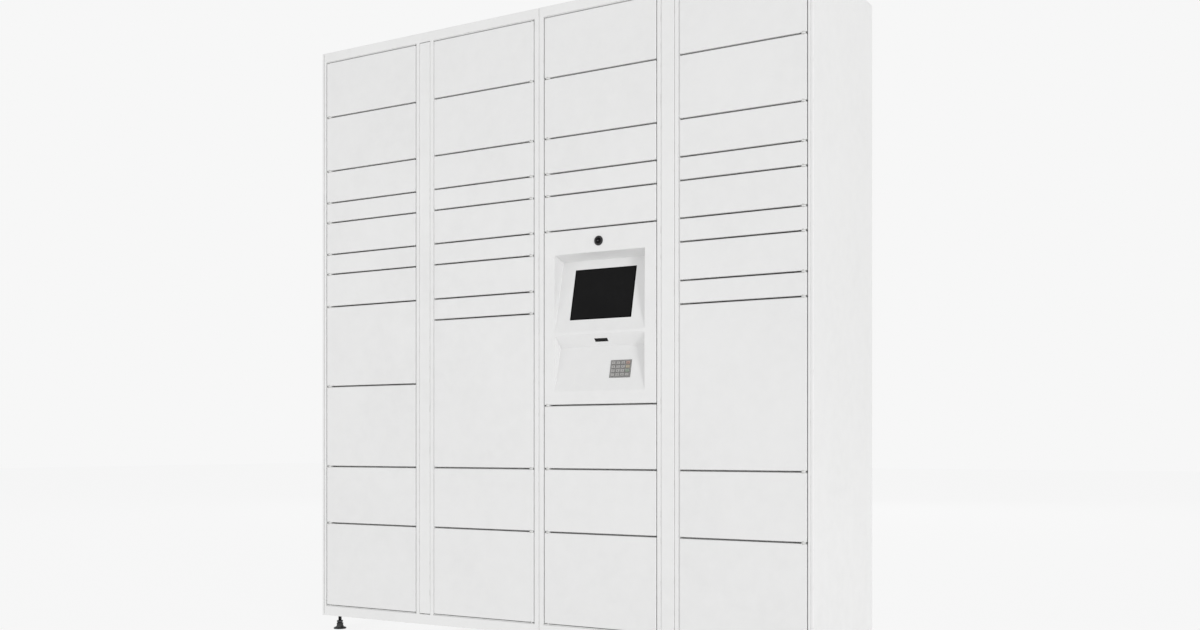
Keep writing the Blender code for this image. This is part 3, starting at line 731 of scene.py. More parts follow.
def make_hinge_rod(column):
    """The rod that carries the column's doors, with a domed head on the header."""
    low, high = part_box(f"hinge_rod_{column}")
    x, y = hinge_place(column)
    neck = high.z - 0.003
    head = [(0.0, high.z), (0.0024, high.z - 0.0002), (0.0044, high.z - 0.0011)]
    head += [(0.0052, neck + 0.0006), (0.0050, neck), (0.0040, neck)]
    tip = [(0.0040, low.z + 0.0012), (0.0030, low.z), (0.0, low.z)]
    bm = bmesh.new()
    add_turned(bm, head + tip, 24, Matrix.Translation((x, y, 0)))
    stands = (f"hinge_rod_{column}",)
    piece = make_piece(f"rod_{column}", bm, [ZINC], "cabinet", stands)
    return settle(piece)


def make_back_panel(column):
    """A plain back sheet with folded edges, set between the sides, with its screws."""
    outer = outer_side(column)
    inward = turn_of(column)
    first, second = MODULES[1] if column in MODULES[1] else MODULES[2]
    middle = (outer_side(first) + outer_side(second)) / 2
    limits = sorted((outer + inward * (BACK_FLANGE + SEAM), middle - inward * SEAM / 2))
    up = (FRAME_FOOT + 0.002, FRAME_TOP - 0.002)
    bm = bmesh.new()
    window = inlet_window() if column == KIOSK_COLUMN else None
    if window:
        across = (limits[0], *window[0], limits[1])
        levels = (up[0], *window[1], up[1])
        add_pierced(bm, across, levels, {(1, 1)}, lambda x, z: Vector((x, BACK, z)))
    else:
        add_pierced(bm, limits, up, set(), lambda x, z: Vector((x, BACK, z)))
    bmesh.ops.reverse_faces(bm, faces=bm.faces)
    outline = [edge for edge in bm.edges if edge.is_boundary and not in_window(edge, window)]
    draw_rims(bm, outline, -BACK_FOLD)
    piece = make_piece(f"back_panel_{column}", bm, [CABINET_COAT], "cabinet")
    finish_sheet(piece)
    make_back_screws(column, limits, up)


def in_window(edge, window):
    if not window:
        return False
    (low_x, high_x), (low_z, high_z) = window
    middle = (edge.verts[0].co + edge.verts[1].co) / 2
    inside_x = low_x - SEAM < middle.x < high_x + SEAM
    return inside_x and low_z - SEAM < middle.z < high_z + SEAM


def inlet_window():
    """X and Z limits of the mains inlet in the control box's back."""
    low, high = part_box("control_box")
    x = (low.x + high.x) / 2
    z = (low.z + high.z) / 2
    return (x - 0.025, x + 0.025), (z - 0.021, z + 0.021)


def make_back_screws(column, limits, up):
    """Domed screws with round dished recesses along both upright edges of a back panel."""
    count = 8
    bm = bmesh.new()
    for x in (limits[0] + 0.012, limits[1] - 0.012):
        for index in range(count):
            z = up[0] + 0.04 + (up[1] - up[0] - 0.08) * index / (count - 1)
            add_screw(bm, Vector((x, BACK, z)), Matrix.Rotation(-math.pi / 2, 4, "X"))
    piece = make_piece(f"back_screws_{column}", bm, [ZINC], "cabinet")
    settle(piece)


def add_screw(bm, place, facing, radius=0.0042):
    """A pan head with a round dished recess, its axis turned from Z by `facing`."""
    dome = [(radius * 0.22, radius * 0.16), (radius * 0.34, radius * 0.50)]
    dome += [(radius * 0.80, radius * 0.38), (radius, radius * 0.12), (radius, -0.0005)]
    matrix = Matrix.Translation(place) @ facing
    add_turned(bm, [(0.0, radius * 0.16)] + dome, 16, matrix)


# ---------------------------------------------------------------- locks, base frame and feet

def add_socket(bm, low, high, mouth_x, mouth_z, depth):
    """A block whose front face has a rectangular mouth with walls and a floor."""
    outer = add_ring(bm, (low.x, high.x), (low.z, high.z), low.y)
    rear = add_ring(bm, (low.x, high.x), (low.z, high.z), high.y)
    rim = add_ring(bm, mouth_x, mouth_z, low.y)
    floor = add_ring(bm, mouth_x, mouth_z, low.y + depth)
    bridge_rings(bm, outer, rear)
    bm.faces.new(list(reversed(rear)))
    for index in range(4):
        after = (index + 1) % 4
        bm.faces.new((outer[index], outer[after], rim[after], rim[index]))
        bm.faces.new((rim[index], rim[after], floor[after], floor[index]))
    bm.faces.new(floor)


def make_locks(column):
    """One electronic lock behind the jamb for each door, with its latch across the mouth."""
    side, inward = lock_side(column)
    wall = side + inward * (JAMB_WIDTH - SHEET)
    slot = striker_x(column)
    jamb = FRONT + RETURN_DEPTH + SHEET
    x_range = sorted((wall, wall - inward * LOCK_SIZE[0]))
    mouth_x = (slot - MOUTH[0] / 2, slot + MOUTH[0] / 2)
    cases = bmesh.new()
    latches = bmesh.new()
    for middle in row_middles(column):
        low = Vector((x_range[0], jamb, middle - LOCK_SIZE[2] / 2))
        high = Vector((x_range[1], jamb + LOCK_SIZE[1], middle + LOCK_SIZE[2] / 2))
        mouth_z = (middle - MOUTH[1] / 2, middle + MOUTH[1] / 2)
        add_socket(cases, low, high, mouth_x, mouth_z, 0.030)
        pin = [(0.0, 0.0045), (0.0012, 0.0045), (0.0015, 0.0041), (0.0015, -0.0041)]
        pin += [(0.0012, -0.0045), (0.0, -0.0045)]
        turn = Matrix.Rotation(math.pi / 2, 4, "Y")
        add_turned(latches, pin, 12, Matrix.Translation((slot, jamb + 0.015, middle)) @ turn)
    piece = make_piece(f"lock_cases_{column}", cases, [LOCK_PLASTIC], "cabinet")
    finish_block(piece, 0.0008)
    piece = make_piece(f"lock_latches_{column}", latches, [ZINC], "cabinet")
    settle(piece)


def make_base_bars(module):
    """The flat-bar ladder inside the sill that the feet screw into."""
    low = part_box(f"base_frame_{module}")[0]
    inset, half = FOOT_INSET, BAR_HALF_WIDTH
    top = POCKET_FLOOR - SHEET - 0.0003
    left, right = outer_side(MODULES[module][0]) + inset, outer_side(MODULES[module][1]) - inset
    front, rear = FRONT + inset, BACK - inset
    bm = bmesh.new()
    across = (left - half, left + half, right - half, right + half)
    along = (front - half, front + half, rear - half, rear + half)
    add_pierced(bm, across, along, {(1, 1)}, lambda x, y: Vector((x, y, top)))
    stands = (f"base_frame_{module}",)
    piece = make_piece(f"base_bars_{module}", bm, [BLACK_COAT], "cabinet", stands)
    thicken(piece, BAR_THICKNESS)
    round_edges(piece, 0.0008)
    settle(piece)
    for number, (x, y) in enumerate(((x, y) for x in (left, right) for y in (front, rear)), start=1):
        make_foot(f"{module}_{number}", Vector((x, y, low.z)), top)


def stud_profile(top, foot, radius=0.0060, pitch=0.00175):
    """A threaded stud: one ridge for each turn, from its top down."""
    points = [(0.0, top), (radius - 0.0012, top)]
    turns = int((top - foot) / pitch)
    for turn in range(turns):
        crest = top - (turn + 0.5) * pitch
        points += [(radius, crest), (radius - 0.0009, crest - pitch / 2)]
    return points + [(radius - 0.0009, foot), (0.0, foot)]


def make_foot(label, place, top):
    """A levelling foot: rubber pad, bell base with a flange, threaded stud and two nuts."""
    at = Matrix.Translation(place)
    pad = [(0.0, 0.0042), (0.0190, 0.0042), (0.0220, 0.0036), (0.0220, 0.0006), (0.0214, 0.0)]
    pad += [(0.0160, 0.0), (0.0150, 0.0008), (0.0, 0.0008)]
    bm = bmesh.new()
    add_turned(bm, pad, 40, at)
    piece = make_piece(f"foot_pad_{label}", bm, [FOOT_RUBBER], "cabinet")
    settle(piece)
    bell = [(0.0, 0.0215), (0.0072, 0.0215), (0.0098, 0.0208)]
    bell += arc_points((0.0098, 0.0190), 0.0018, 90, 0, 4)
    bell += [(0.0112, 0.0140)] + arc_points((0.0202, 0.0140), 0.0090, 180, 250, 5)
    bell += [(0.0196, 0.0050), (0.0204, 0.0040), (0.0, 0.0040)]
    bm = bmesh.new()
    add_turned(bm, bell, 40, at)
    piece = make_piece(f"foot_bell_{label}", bm, [BLACK_COAT], "cabinet")
    settle(piece)
    bm = bmesh.new()
    add_turned(bm, stud_profile(top + 0.012 - place.z, 0.0205), 24, at)
    piece = make_piece(f"foot_stud_{label}", bm, [FOOT_ZINC], "cabinet")
    settle(piece)
    bm = bmesh.new()
    for low, high in ((0.0225, 0.0295), (top - 0.0135 - place.z, top - 0.0065 - place.z)):
        add_turned(bm, nut_profile(low, high), 6, at)
    piece = make_piece(f"foot_nuts_{label}", bm, [FOOT_ZINC], "cabinet")
    finish_block(piece, 0.0005, 2)


def nut_profile(low, high, radius=0.0110):
    return [(0.0050, high), (radius - 0.001, high), (radius, high - 0.0007), (radius, low + 0.0007),
            (radius - 0.001, low), (0.0050, low)]


# ---------------------------------------------------------------- doors

def door_limits(name):
    low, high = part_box(name)
    return (low.x, high.x), (low.z, high.z)


def add_stiffener(bm, x, z_range):
    """A hat section up the middle of a door's back."""
    skin = FRONT + SHEET + 0.0001
    hat = [(-0.028, 0.0), (-0.016, 0.0), (-0.012, 0.010), (0.012, 0.010), (0.016, 0.0), (0.028, 0.0)]
    path = [(x + px, skin + SHEET + py) for px, py in reversed(hat)]
    add_folded(bm, path, shrink(z_range, 0.022), "z")


def make_door_panel(name, column):
    """A folded door with its stiffener, striker, bumpers and hinge bushes."""
    x_range, z_range = door_limits(name)
    bm = bmesh.new()
    add_pan(bm, x_range, z_range, FRONT, DOOR_DEPTH, DOOR_LIP)
    if z_range[1] - z_range[0] > SLIM_DOOR:
        add_stiffener(bm, sum(x_range) / 2, z_range)
    piece = make_piece(f"{name}_panel", bm, [DOOR_COAT], name, (name,))
    finish_sheet(piece, DOOR_FOLD_RADIUS)
    make_striker(name, column, sum(z_range) / 2, name)
    make_bumpers(name, column, z_range, name)
    make_bushes(name, column, z_range, name)


def make_striker(name, column, middle, body):
    """A zinc-plated hook plate that stands on the door's back, with its window and foot."""
    x = striker_x(column) - STRIKER[0] / 2
    skin = FRONT + SHEET
    tip = FRONT + STRIKER[1]
    along = (skin, skin + 0.0245, tip - 0.0055, tip)
    up = (middle - STRIKER[2] / 2, middle - 0.0038, middle + 0.0038, middle + STRIKER[2] / 2)
    bm = bmesh.new()
    add_pierced(bm, along, up, {(1, 1)}, lambda y, z: Vector((x, y, z)))
    inward = lock_side(column)[1]
    foot = sorted((x, x + inward * STRIKER_FOOT + STRIKER[0] / 2))
    foot_z = (middle - STRIKER_FOOT / 2, middle + STRIKER_FOOT / 2)
    add_pierced(bm, foot, foot_z, set(), lambda a, z: Vector((a, skin + 0.0028, z)))
    piece = make_piece(f"{name}_striker", bm, [ZINC], body)
    thicken(piece, STRIKER[0] - 0.0002, even=False)
    finish_block(piece, 0.0005)


def make_bumpers(name, column, z_range, body):
    """Two rubber buttons on the door's rear lip that meet the jamb."""
    side, inward = lock_side(column)
    x = side + inward * (SIDE_GAP + DOOR_LIP / 2)
    lift = min(0.040, (z_range[1] - z_range[0]) * 0.28)
    button = [(0.0, 0.0066), (0.0026, 0.0064), (0.0036, 0.0054), (0.0042, 0.0004), (0.0042, 0.0)]
    bm = bmesh.new()
    for z in (z_range[0] + lift, z_range[1] - lift):
        turn = Matrix.Rotation(-math.pi / 2, 4, "X")
        add_turned(bm, button, 20, Matrix.Translation((x, FRONT + DOOR_DEPTH, z)) @ turn)
    piece = make_piece(f"{name}_bumpers", bm, [BUMPER_RUBBER], body)
    settle(piece)


def make_bushes(name, column, z_range, body):
    """Flanged nylon bushes in the door's upper and lower folds, round the rod."""
    x, y = hinge_place(column)
    bm = bmesh.new()
    for z, side in ((z_range[0], 1), (z_range[1], -1)):
        sleeve = [(0.0043, 0.0), (0.0047, 0.0), (0.0047, 0.0016), (0.0078, 0.0016)]
        sleeve += [(0.0078, 0.0030), (0.0074, 0.0034), (0.0043, 0.0034)]
        points = [(radius, side * height) for radius, height in sleeve]
        if side > 0:
            points.reverse()
        place = Matrix.Translation((x, y, z - side * 0.0003))
        add_turned(bm, points, 24, place)
    piece = make_piece(f"{name}_bushes", bm, [WHITE_NYLON], body)
    settle(piece)


# ---------------------------------------------------------------- kiosk door

KIOSK_X = (KIOSK_BOX[0].x + KIOSK_BOX[1].x) / 2
KIOSK_FLOOR = KIOSK_BOX[0].z - DOOR_GAP / 2
RECESS_HALF = 0.160
UPPER_RECESS = {"top": 0.4702, "back": (0.052, 0.4542), "foot": 0.2272}
LOWER_RECESS = {"top": 0.2182, "back": (0.033, 0.1822), "foot": 0.0432}
SCREEN = (0.2186, 0.1646)
DISPLAY = (0.2112, 0.1584)
SCREEN_HEIGHT = 0.3452
KEYPAD = (0.073, 0.056)
KEYPAD_PLACE = (0.0685, 0.1092)
SCANNER = (0.046, 0.013)
SCANNER_HEIGHT = 0.2002
CAMERA_HEIGHT = 0.5039
KEY_PITCH = (0.0168, 0.0126)
KEY_SIZE = (0.0130, 0.0092)
WINDOW_GAP = 0.0003


def slant_frame(recess, across, height):
    """Matrix of a recess's slanted panel: X across, Y into the panel, Z up the slant."""
    depth, back_height = recess["back"]
    slope = depth / (back_height - recess["foot"])
    place = Vector((KIOSK_X + across, FRONT + (height - recess["foot"]) * slope, KIOSK_FLOOR + height))
    return Matrix.Translation(place) @ Matrix.Rotation(-math.atan(slope), 4, "X")


def ceiling_frame(recess, height):
    """The same for the recess's sloping ceiling, which faces forwards and down."""
    depth, back_height = recess["back"]
    drop = recess["top"] - back_height
    share = (recess["top"] - height) / drop
    place = Vector((KIOSK_X, FRONT + depth * share, KIOSK_FLOOR + height))
    return Matrix.Translation(place) @ Matrix.Rotation(math.atan(depth / drop), 4, "X")


SCREEN_FRAME = slant_frame(UPPER_RECESS, 0.0, SCREEN_HEIGHT)
KEYPAD_FRAME = slant_frame(LOWER_RECESS, *KEYPAD_PLACE)
SCANNER_FRAME = ceiling_frame(LOWER_RECESS, SCANNER_HEIGHT)


def window_lines(size, middle=0.0):
    half = size / 2 + WINDOW_GAP
    return middle - half, middle + half


def add_recess_panel(bm, frame_matrix, limits, size):
    """A flat wall of a recess with a window in it. Welding joins its rim to the next wall."""
    low, high = limits
    shift = offset_x(frame_matrix)
    across = (-RECESS_HALF - shift, *window_lines(size[0]), RECESS_HALF - shift)
    up = (low, *window_lines(size[1]), high)
    add_pierced(bm, across, up, {(1, 1)}, lambda x, z: frame_matrix @ Vector((x, 0, z)))


def offset_x(frame_matrix):
    return frame_matrix.translation.x - KIOSK_X


def along_slant(recess, height):
    """Distance up the slanted panel from its foot to a height."""
    depth, back_height = recess["back"]
    rise = back_height - recess["foot"]
    return (height - recess["foot"]) * math.hypot(depth, rise) / rise


def add_recess(bm, recess, panel, panel_size, panel_height, ceiling, ceiling_size):
    """Slanted panel, ceiling and side walls of a recess, each pierced for its devices."""
    reach = along_slant(recess, recess["back"][1])
    start = along_slant(recess, panel_height)
    add_recess_panel(bm, panel, (-start, reach - start), panel_size)
    depth, back_height = recess["back"]
    drop = recess["top"] - back_height
    slope = math.hypot(depth, drop)
    if ceiling:
        below = (SCANNER_HEIGHT - back_height) / drop * slope
        add_recess_panel(bm, ceiling, (-below, slope - below), ceiling_size)
    else:
        sides = (KIOSK_X - RECESS_HALF, KIOSK_X + RECESS_HALF)
        rim = [(x, FRONT, KIOSK_FLOOR + recess["top"]) for x in sides]
        rear = [(x, FRONT + depth, KIOSK_FLOOR + back_height) for x in reversed(sides)]
        bm.faces.new([bm.verts.new(point) for point in rear + rim])
    for side in (-1, 1):
        x = KIOSK_X + side * RECESS_HALF
        add_recess_side(bm, x, side)


def add_recess_side(bm, x, side):
    """Closes one side of a recess along the open edges that lie in its plane."""
    bmesh.ops.remove_doubles(bm, verts=bm.verts, dist=WELD)
    rims = [
        edge
        for edge in bm.edges
        if edge.is_boundary and all(abs(vert.co.x - x) < 2 * WELD for vert in edge.verts)
    ]
    bmesh.ops.holes_fill(bm, edges=rims, sides=0)


def make_kiosk_panel():
    """The kiosk's folded door with its two recesses in one skin."""
    x_range, z_range = (KIOSK_BOX[0].x, KIOSK_BOX[1].x), (KIOSK_BOX[0].z, KIOSK_BOX[1].z)
    levels = [LOWER_RECESS["foot"], LOWER_RECESS["top"], UPPER_RECESS["foot"], UPPER_RECESS["top"]]
    up = (z_range[0], *(KIOSK_FLOOR + level for level in levels), z_range[1])
    across = (x_range[0], KIOSK_X - RECESS_HALF, KIOSK_X + RECESS_HALF, x_range[1])
    bm = bmesh.new()
    add_pierced(bm, across, up, {(1, 1), (1, 3)}, lambda x, z: Vector((x, FRONT, z)))
    rims = [edge for edge in bm.edges if edge.is_boundary and on_outline(edge, x_range, z_range)]
    draw_rims(bm, rims, DOOR_DEPTH)
    add_recess(bm, UPPER_RECESS, SCREEN_FRAME, SCREEN, SCREEN_HEIGHT, None, None)
    add_recess(bm, LOWER_RECESS, KEYPAD_FRAME, KEYPAD, KEYPAD_PLACE[1], SCANNER_FRAME, SCANNER)
    bmesh.ops.remove_doubles(bm, verts=bm.verts, dist=WELD)
    bmesh.ops.recalc_face_normals(bm, faces=bm.faces)
    front_face = min(bm.faces, key=lambda face: face.calc_center_median().y)
    if front_face.normal.y > 0:
        bmesh.ops.reverse_faces(bm, faces=bm.faces)
    piece = make_piece("kiosk_panel", bm, [DOOR_COAT], "kiosk", ("kiosk_door",))
    finish_sheet(piece, 0.0022, SHEET, 20.0)
    make_striker("kiosk", KIOSK_COLUMN, sum(z_range) / 2, "kiosk")
    make_bumpers("kiosk", KIOSK_COLUMN, z_range, "kiosk")
    make_bushes("kiosk", KIOSK_COLUMN, z_range, "kiosk")


def on_outline(edge, x_range, z_range):
    first, second = (vert.co for vert in edge.verts)
    upright = any(abs(first.x - x) < SEAM and abs(second.x - x) < SEAM for x in x_range)
    level = any(abs(first.z - z) < SEAM and abs(second.z - z) < SEAM for z in z_range)
    return upright or level


def make_touchscreen():
    """Cover glass with a black border round a display that is off, and its housing."""
    across = (-SCREEN[0] / 2, -DISPLAY[0] / 2, DISPLAY[0] / 2, SCREEN[0] / 2)
    up = (-SCREEN[1] / 2, -DISPLAY[1] / 2, DISPLAY[1] / 2, SCREEN[1] / 2)
    bm = bmesh.new()
    add_pierced(bm, across, up, set(), lambda x, z: Vector((x, 0, z)))
    for face in bm.faces:
        middle = face.calc_center_median()
        inside = abs(middle.x) < DISPLAY[0] / 2 and abs(middle.z) < DISPLAY[1] / 2
        face.material_index = 1 if inside else 0
    rims = [edge for edge in bm.edges if edge.is_boundary]
    draw_rims(bm, rims, 0.003)
    bm.transform(SCREEN_FRAME)
    glass = [GLASS_BORDER, DISPLAY_OFF]
    piece = make_piece("screen_glass", bm, glass, "kiosk", ("touchscreen",))
    finish_block(piece, 0.0004)
    bm = bmesh.new()
    half_x, half_z = SCREEN[0] / 2 + 0.010, SCREEN[1] / 2 + 0.010
    add_block(bm, (-half_x, SHEET + 0.0006, -half_z), (half_x, 0.010, half_z))
    add_block(bm, (-half_x + 0.014, 0.0101, -half_z + 0.012), (half_x - 0.014, 0.033, half_z - 0.012))
    for x in (-0.06, 0.0, 0.06):
        add_block(bm, (x - 0.020, 0.0331, -0.030), (x + 0.020, 0.0345, 0.030))
    bm.transform(SCREEN_FRAME)
    piece = make_piece("screen_housing", bm, [CAMERA_PLASTIC], "kiosk")
    finish_block(piece, 0.0012)


def make_camera():
    """A round bezel, a glass dome, the lens barrel behind it, and a grey lens disc on the dome whose
    lighter grey is partly a painted glint.
    """
    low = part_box("camera")[0]
    proud = FRONT - low.y
    place = Vector((KIOSK_X, FRONT, KIOSK_FLOOR + CAMERA_HEIGHT))
    at = Matrix.Translation(place) @ Matrix.Rotation(math.pi / 2, 4, "X")
    bezel = [(0.0088, 0.0010), (0.0090, 0.0022)] + arc_points((0.0100, 0.0022), 0.0010, 180, 60, 5)
    bezel += [(0.0138, 0.0024)] + arc_points((0.0138, 0.0012), 0.0012, 90, 0, 4)
    bezel += [(0.0150, 0.0002), (0.0118, 0.0002), (0.0118, -0.0260), (0.0, -0.0260)]
    bm = bmesh.new()
    add_turned(bm, bezel, 48, at)
    piece = make_piece("camera_bezel", bm, [CAMERA_PLASTIC], "kiosk", ("camera",))
    settle(piece)
    dome = [(0.0, proud)] + [
        (0.0088 * math.sin(math.radians(a)), 0.0012 + (proud - 0.0012) * math.cos(math.radians(a)))
        for a in (12, 25, 40, 55, 70, 82, 90)
    ]
    bm = bmesh.new()
    add_turned(bm, dome, 40, at)
    piece = make_piece("camera_dome", bm, [DOME_GLASS], "kiosk")
    settle(piece)
    # The lens: a grey disc on the dome's face; its grey is partly the lens and partly a painted glint.
    ring = [(0.0, proud + 0.00002), (0.0011, proud - 0.00002), (0.0030, proud - 0.00035)]
    bm = bmesh.new()
    add_turned(bm, ring, 32, at @ Matrix.Translation((0.0, 0.0, 0.00005)))
    piece = make_piece("camera_lens_glint", bm, [LENS_WITH_PAINTED_GLINT], "kiosk")
    settle(piece)


def make_scanner():
    """A dark window with a shallow frame in the lower recess's ceiling, and its module."""
    half_x, half_z = SCANNER[0] / 2, SCANNER[1] / 2
    bm = bmesh.new()
    across = (-half_x, -half_x + 0.0012, half_x - 0.0012, half_x)
    up = (-half_z, -half_z + 0.0012, half_z - 0.0012, half_z)
    add_pierced(bm, across, up, {(1, 1)}, lambda x, z: Vector((x, 0, z)))
    rims = [edge for edge in bm.edges if edge.is_boundary]
    draw_rims(bm, rims, 0.002)
    bm.transform(SCANNER_FRAME)
    piece = make_piece("scanner_frame", bm, [CAMERA_PLASTIC], "kiosk", ("scanner",))
    finish_block(piece, 0.0003)
    bm = bmesh.new()
    inner_x, inner_z = half_x - 0.0011, half_z - 0.0011
    add_block(bm, (-inner_x, 0.0009, -inner_z), (inner_x, 0.003, inner_z))
    bm.transform(SCANNER_FRAME)
    piece = make_piece("scanner_window", bm, [SCAN_GLASS], "kiosk")
    finish_block(piece, 0.0002)
    bm = bmesh.new()
    outer_x, outer_z = half_x + 0.003, half_z + 0.003
    add_block(bm, (-outer_x, SHEET + 0.0006, -outer_z), (outer_x, 0.024, outer_z))
    bm.transform(SCANNER_FRAME)
    piece = make_piece("scanner_housing", bm, [LOCK_PLASTIC], "kiosk")
    finish_block(piece, 0.0010)


def key_middles():
    """Column, row and middle of each key, from the upper left, in the keypad's frame."""
    spots = []
    for row in range(4):
        for column in range(4):
            x = (column - 1.5) * KEY_PITCH[0]
            z = (1.5 - row) * KEY_PITCH[1]
            spots.append((column, row, x, z))
    return spots


def make_keypad_plate():
    """The keypad's plate with sixteen windows and a rounded rim, in its gasket."""
    half = (KEYPAD[0] / 2, KEYPAD[1] / 2)
    window = (KEY_SIZE[0] / 2 + 0.0004, KEY_SIZE[1] / 2 + 0.0004)
    across = [-half[0]]
    up = [-half[1]]
    for step in range(4):
        x = (step - 1.5) * KEY_PITCH[0]
        z = (step - 1.5) * KEY_PITCH[1]
        across += [x - window[0], x + window[0]]
        up += [z - window[1], z + window[1]]
    across.append(half[0])
    up.append(half[1])
    holes = {(2 * i + 1, 2 * j + 1) for i in range(4) for j in range(4)}
    bm = bmesh.new()
    add_pierced(bm, across, up, holes, lambda x, z: Vector((x, -0.001, z)))
    rims = [edge for edge in bm.edges if edge.is_boundary]
    draw_rims(bm, rims, 0.0032)
    bm.transform(KEYPAD_FRAME)
    stands = ("keypad_frame",)
    piece = make_piece("keypad_plate", bm, [KEYPAD_PLATE], "kiosk", stands)
    finish_block(piece, 0.0005)
    bm = bmesh.new()
    for rim, front, back in ((0.004, SHEET + 0.0006, 0.0026), (-0.004, 0.0066, 0.0120)):
        x, z = half[0] + rim, half[1] + rim
        add_block(bm, (-x, front, -z), (x, back, z))
    bm.transform(KEYPAD_FRAME)
    piece = make_piece("keypad_housing", bm, [LOCK_PLASTIC], "kiosk")
    finish_block(piece, 0.0006)


def make_keys():
    """Sixteen rounded caps with dished tops; the right-hand column is coloured."""
    colours = {0: KEY_RED, 1: KEY_YELLOW, 2: KEY_GREEN}
    for column, row, x, z in key_middles():
        bm = bmesh.new()
        half_x, half_z = KEY_SIZE[0] / 2, KEY_SIZE[1] / 2
        add_block(bm, (x - half_x, -0.0022, z - half_z), (x + half_x, 0.0026, z + half_z))
        front = min(bm.faces, key=lambda face: face.calc_center_median().y)
        bmesh.ops.inset_individual(bm, faces=[front], thickness=0.0018, use_even_offset=True)
        bmesh.ops.translate(bm, verts=front.verts, vec=(0, 0.00022, 0))
        bm.transform(KEYPAD_FRAME)
        material = colours.get(row, KEY_STEEL) if column == 3 else KEY_STEEL
        name = f"key_{row + 1}_{column + 1}"
        piece = make_piece(name, bm, [material], "keys", ("keypad_keys",))
        round_edges(piece, 0.0006, 3, 12.0)
        settle(piece)


KEY_LABELS = ("1", "2", "3", "x", "4", "5", "6", "<", "7", "8", "9", "o", "*", "0", "#", "-")


def make_key_marks():
    """Filled engravings on the keys: plain digits and signs."""
    for (column, row, x, z), label in zip(key_middles(), KEY_LABELS):
        text = bpy.data.curves.new(f"mark_{row + 1}_{column + 1}", "FONT")
        text.body = label
        text.size = 0.0062
        text.align_x = "CENTER"
        text.align_y = "CENTER"
        text.extrude = 0.00004
        mark = bpy.data.objects.new(text.name, text)
        bpy.context.scene.collection.objects.link(mark)
        upright = Matrix.Rotation(math.pi / 2, 4, "X")
        mark.matrix_world = KEYPAD_FRAME @ Matrix.Translation((x, -0.00202, z)) @ upright
        mark_mesh(mark)


def mark_mesh(mark):
    """Turns a text object into a mesh piece that rides with the keys."""
    bpy.context.view_layer.update()
    graph = bpy.context.evaluated_depsgraph_get()
    mesh = bpy.data.meshes.new_from_object(mark.evaluated_get(graph))
    mesh.transform(mark.matrix_world)
    name = mark.name
    bpy.data.objects.remove(mark)
    bm = bmesh.new()
    bm.from_mesh(mesh)
    bpy.data.meshes.remove(mesh)
    settle(make_piece(name, bm, [KEY_MARK], "keys"))


def make_control_box():
    """Enamelled box for power supply and radio, with louvres and its inlet."""
    low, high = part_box("control_box")
    rear = BACK - SHEET - 0.0003
    bm = bmesh.new()
    add_block(bm, low, (high.x, rear, high.z))
    for index in range(7):
        z = low.z + 0.06 + index * 0.012
        add_block(bm, (low.x + 0.05, low.y - 0.0022, z), (high.x - 0.05, low.y + 0.001, z + 0.004))
    piece = make_piece("control_case", bm, [GREY_ENAMEL], "cabinet", ("control_box",))
    finish_block(piece, 0.0015)
    (left, right), (floor, top) = inlet_window()
    bm = bmesh.new()
    face_low = Vector((left + 0.001, rear, floor + 0.001))
    face_high = Vector((right - 0.001, BACK + 0.0012, top - 0.001))
    socket_x = (left + 0.011, right - 0.011)
    socket_z = (floor + 0.012, top - 0.010)
    add_inlet(bm, face_low, face_high, socket_x, socket_z)
    piece = make_piece("mains_inlet", bm, [LOCK_PLASTIC], "cabinet")
    finish_block(piece, 0.0006)
    bm = bmesh.new()
    middle = sum(socket_x) / 2
    for x, z in ((middle - 0.007, 0.014), (middle, 0.019), (middle + 0.007, 0.014)):
        low_corner = (x - 0.001, BACK - 0.0110, floor + z - 0.002)
        high_corner = (x + 0.001, BACK - 0.002, floor + z + 0.002)
        add_block(bm, low_corner, high_corner)
    piece = make_piece("inlet_pins", bm, [ZINC], "cabinet")
    finish_block(piece, 0.0004)


def add_inlet(bm, low, high, socket_x, socket_z):
    """An inlet body with its socket open to the back."""
    outer = add_ring(bm, (low.x, high.x), (low.z, high.z), high.y)
    ahead = add_ring(bm, (low.x, high.x), (low.z, high.z), low.y - 0.010)
    rim = add_ring(bm, socket_x, socket_z, high.y)
    floor = add_ring(bm, socket_x, socket_z, high.y - 0.013)
    bridge_rings(bm, ahead, outer)
    bm.faces.new(ahead)
    for index in range(4):
        after = (index + 1) % 4
        bm.faces.new((outer[after], outer[index], rim[index], rim[after]))
        bm.faces.new((rim[after], rim[index], floor[index], floor[after]))
    bm.faces.new(list(reversed(floor)))


# ---------------------------------------------------------------- camera, light and floor

CAMERA_PLACE = (2.1416, -3.5181, 0.651)
CAMERA_TURN = (math.radians(90.0), 0.0, math.radians(30.45))
LENS = 36.97
SENSOR = 36.0
LENS_RISE = 0.1083
BACKDROP = 0.930


def make_camera_view():
    data = bpy.data.cameras.new("view")
    data.lens = LENS
    data.sensor_width = SENSOR
    data.shift_y = LENS_RISE
    data.clip_end = 60.0
    camera = bpy.data.objects.new("view", data)
    camera.location = CAMERA_PLACE
    camera.rotation_euler = CAMERA_TURN
    bpy.context.scene.collection.objects.link(camera)
    bpy.context.scene.camera = camera


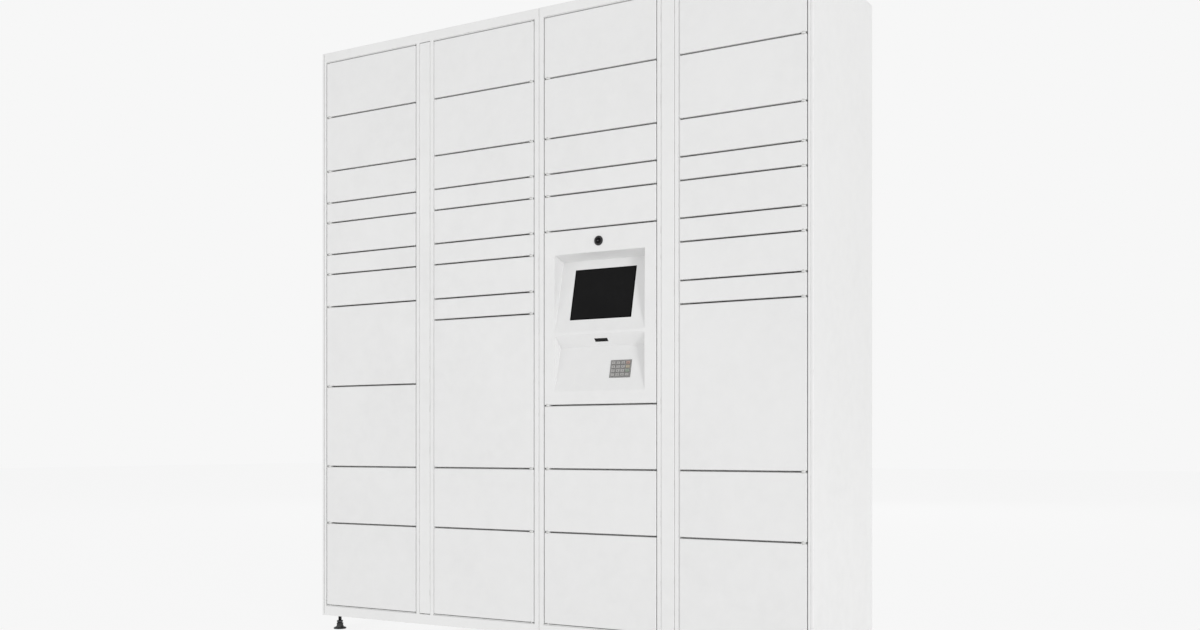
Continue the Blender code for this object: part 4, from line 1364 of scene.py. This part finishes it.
def make_world(strength):
    """Even white light all round; the camera sees a plain pale backdrop."""
    world = bpy.data.worlds.new("studio")
    world.use_nodes = True
    bpy.context.scene.world = world
    tree = world.node_tree
    light = tree.nodes["Background"]
    light.inputs["Color"].default_value = (1.0, 1.0, 1.0, 1.0)
    light.inputs["Strength"].default_value = strength
    backdrop = tree.nodes.new("ShaderNodeBackground")
    backdrop.inputs["Color"].default_value = (BACKDROP, BACKDROP, BACKDROP, 1.0)
    path = tree.nodes.new("ShaderNodeLightPath")
    mix = tree.nodes.new("ShaderNodeMixShader")
    tree.links.new(path.outputs["Is Camera Ray"], mix.inputs["Fac"])
    tree.links.new(light.outputs["Background"], mix.inputs[1])
    tree.links.new(backdrop.outputs["Background"], mix.inputs[2])
    tree.links.new(mix.outputs["Shader"], tree.nodes["World Output"].inputs["Surface"])


def make_floor():
    """A wide pale floor that keeps a weak contact shadow and meets the backdrop unseen."""
    bm = bmesh.new()
    bmesh.ops.create_grid(bm, x_segments=8, y_segments=8, size=30.0)
    mesh = bpy.data.meshes.new("floor")
    bm.to_mesh(mesh)
    bm.free()
    material, _, shader = start_material("studio_floor", (0.10, 0.10, 0.10), 0.9)
    shader.inputs["Specular IOR Level"].default_value = 0.0
    shader.inputs["Emission Color"].default_value = (1.0, 1.0, 1.0, 1.0)
    shader.inputs["Emission Strength"].default_value = BACKDROP - FLOOR_SHARE
    mesh.materials.append(material)
    floor = bpy.data.objects.new("floor", mesh)
    bpy.context.scene.collection.objects.link(floor)


def add_softbox(name, place, aim, size, power):
    light = bpy.data.lights.new(name, "AREA")
    light.shape = "RECTANGLE"
    light.size = size[0]
    light.size_y = size[1]
    light.energy = power
    lamp = bpy.data.objects.new(name, light)
    lamp.location = place
    lamp.rotation_euler = (Vector(aim) - Vector(place)).to_track_quat("-Z", "Y").to_euler()
    bpy.context.scene.collection.objects.link(lamp)


WORLD_LIGHT = 0.655
FLOOR_SHARE = 0.078


def make_studio():
    bpy.context.scene.view_settings.view_transform = "Standard"
    make_world(WORLD_LIGHT)
    make_floor()
    middle = (0.0, 0.0, 1.0)
    add_softbox("right_strip", (13.6, -8.5, 2.2), middle, (3.4, 7.0), 940.0)
    add_softbox("front_bank", (-7.0, -9.0, 2.5), middle, (6.0, 3.0), 90.0)
    add_softbox("back_bank", (-4.0, 9.0, 4.0), middle, (6.0, 3.0), 120.0)


# ---------------------------------------------------------------- assembly

def make_cabinet():
    for module in MODULES:
        make_face_frame(module)
        make_channel_cover(module)
        make_base_bars(module)
    for column in COLUMNS:
        make_side_panel(column)
        make_lock_wall(column)
        make_shelves(column)
        make_gap_seals(column)
        make_hinge_lugs(column)
        make_hinge_rod(column)
        make_back_panel(column)
        make_locks(column)
    make_control_box()


def make_doors():
    for name in DOOR_NAMES:
        make_door_panel(name, int(name.split("_")[1]))


def make_kiosk():
    make_kiosk_panel()
    make_touchscreen()
    make_camera()
    make_scanner()
    make_keypad_plate()
    make_keys()
    make_key_marks()


make_camera_view()
make_studio()
make_cabinet()
make_doors()
make_kiosk()
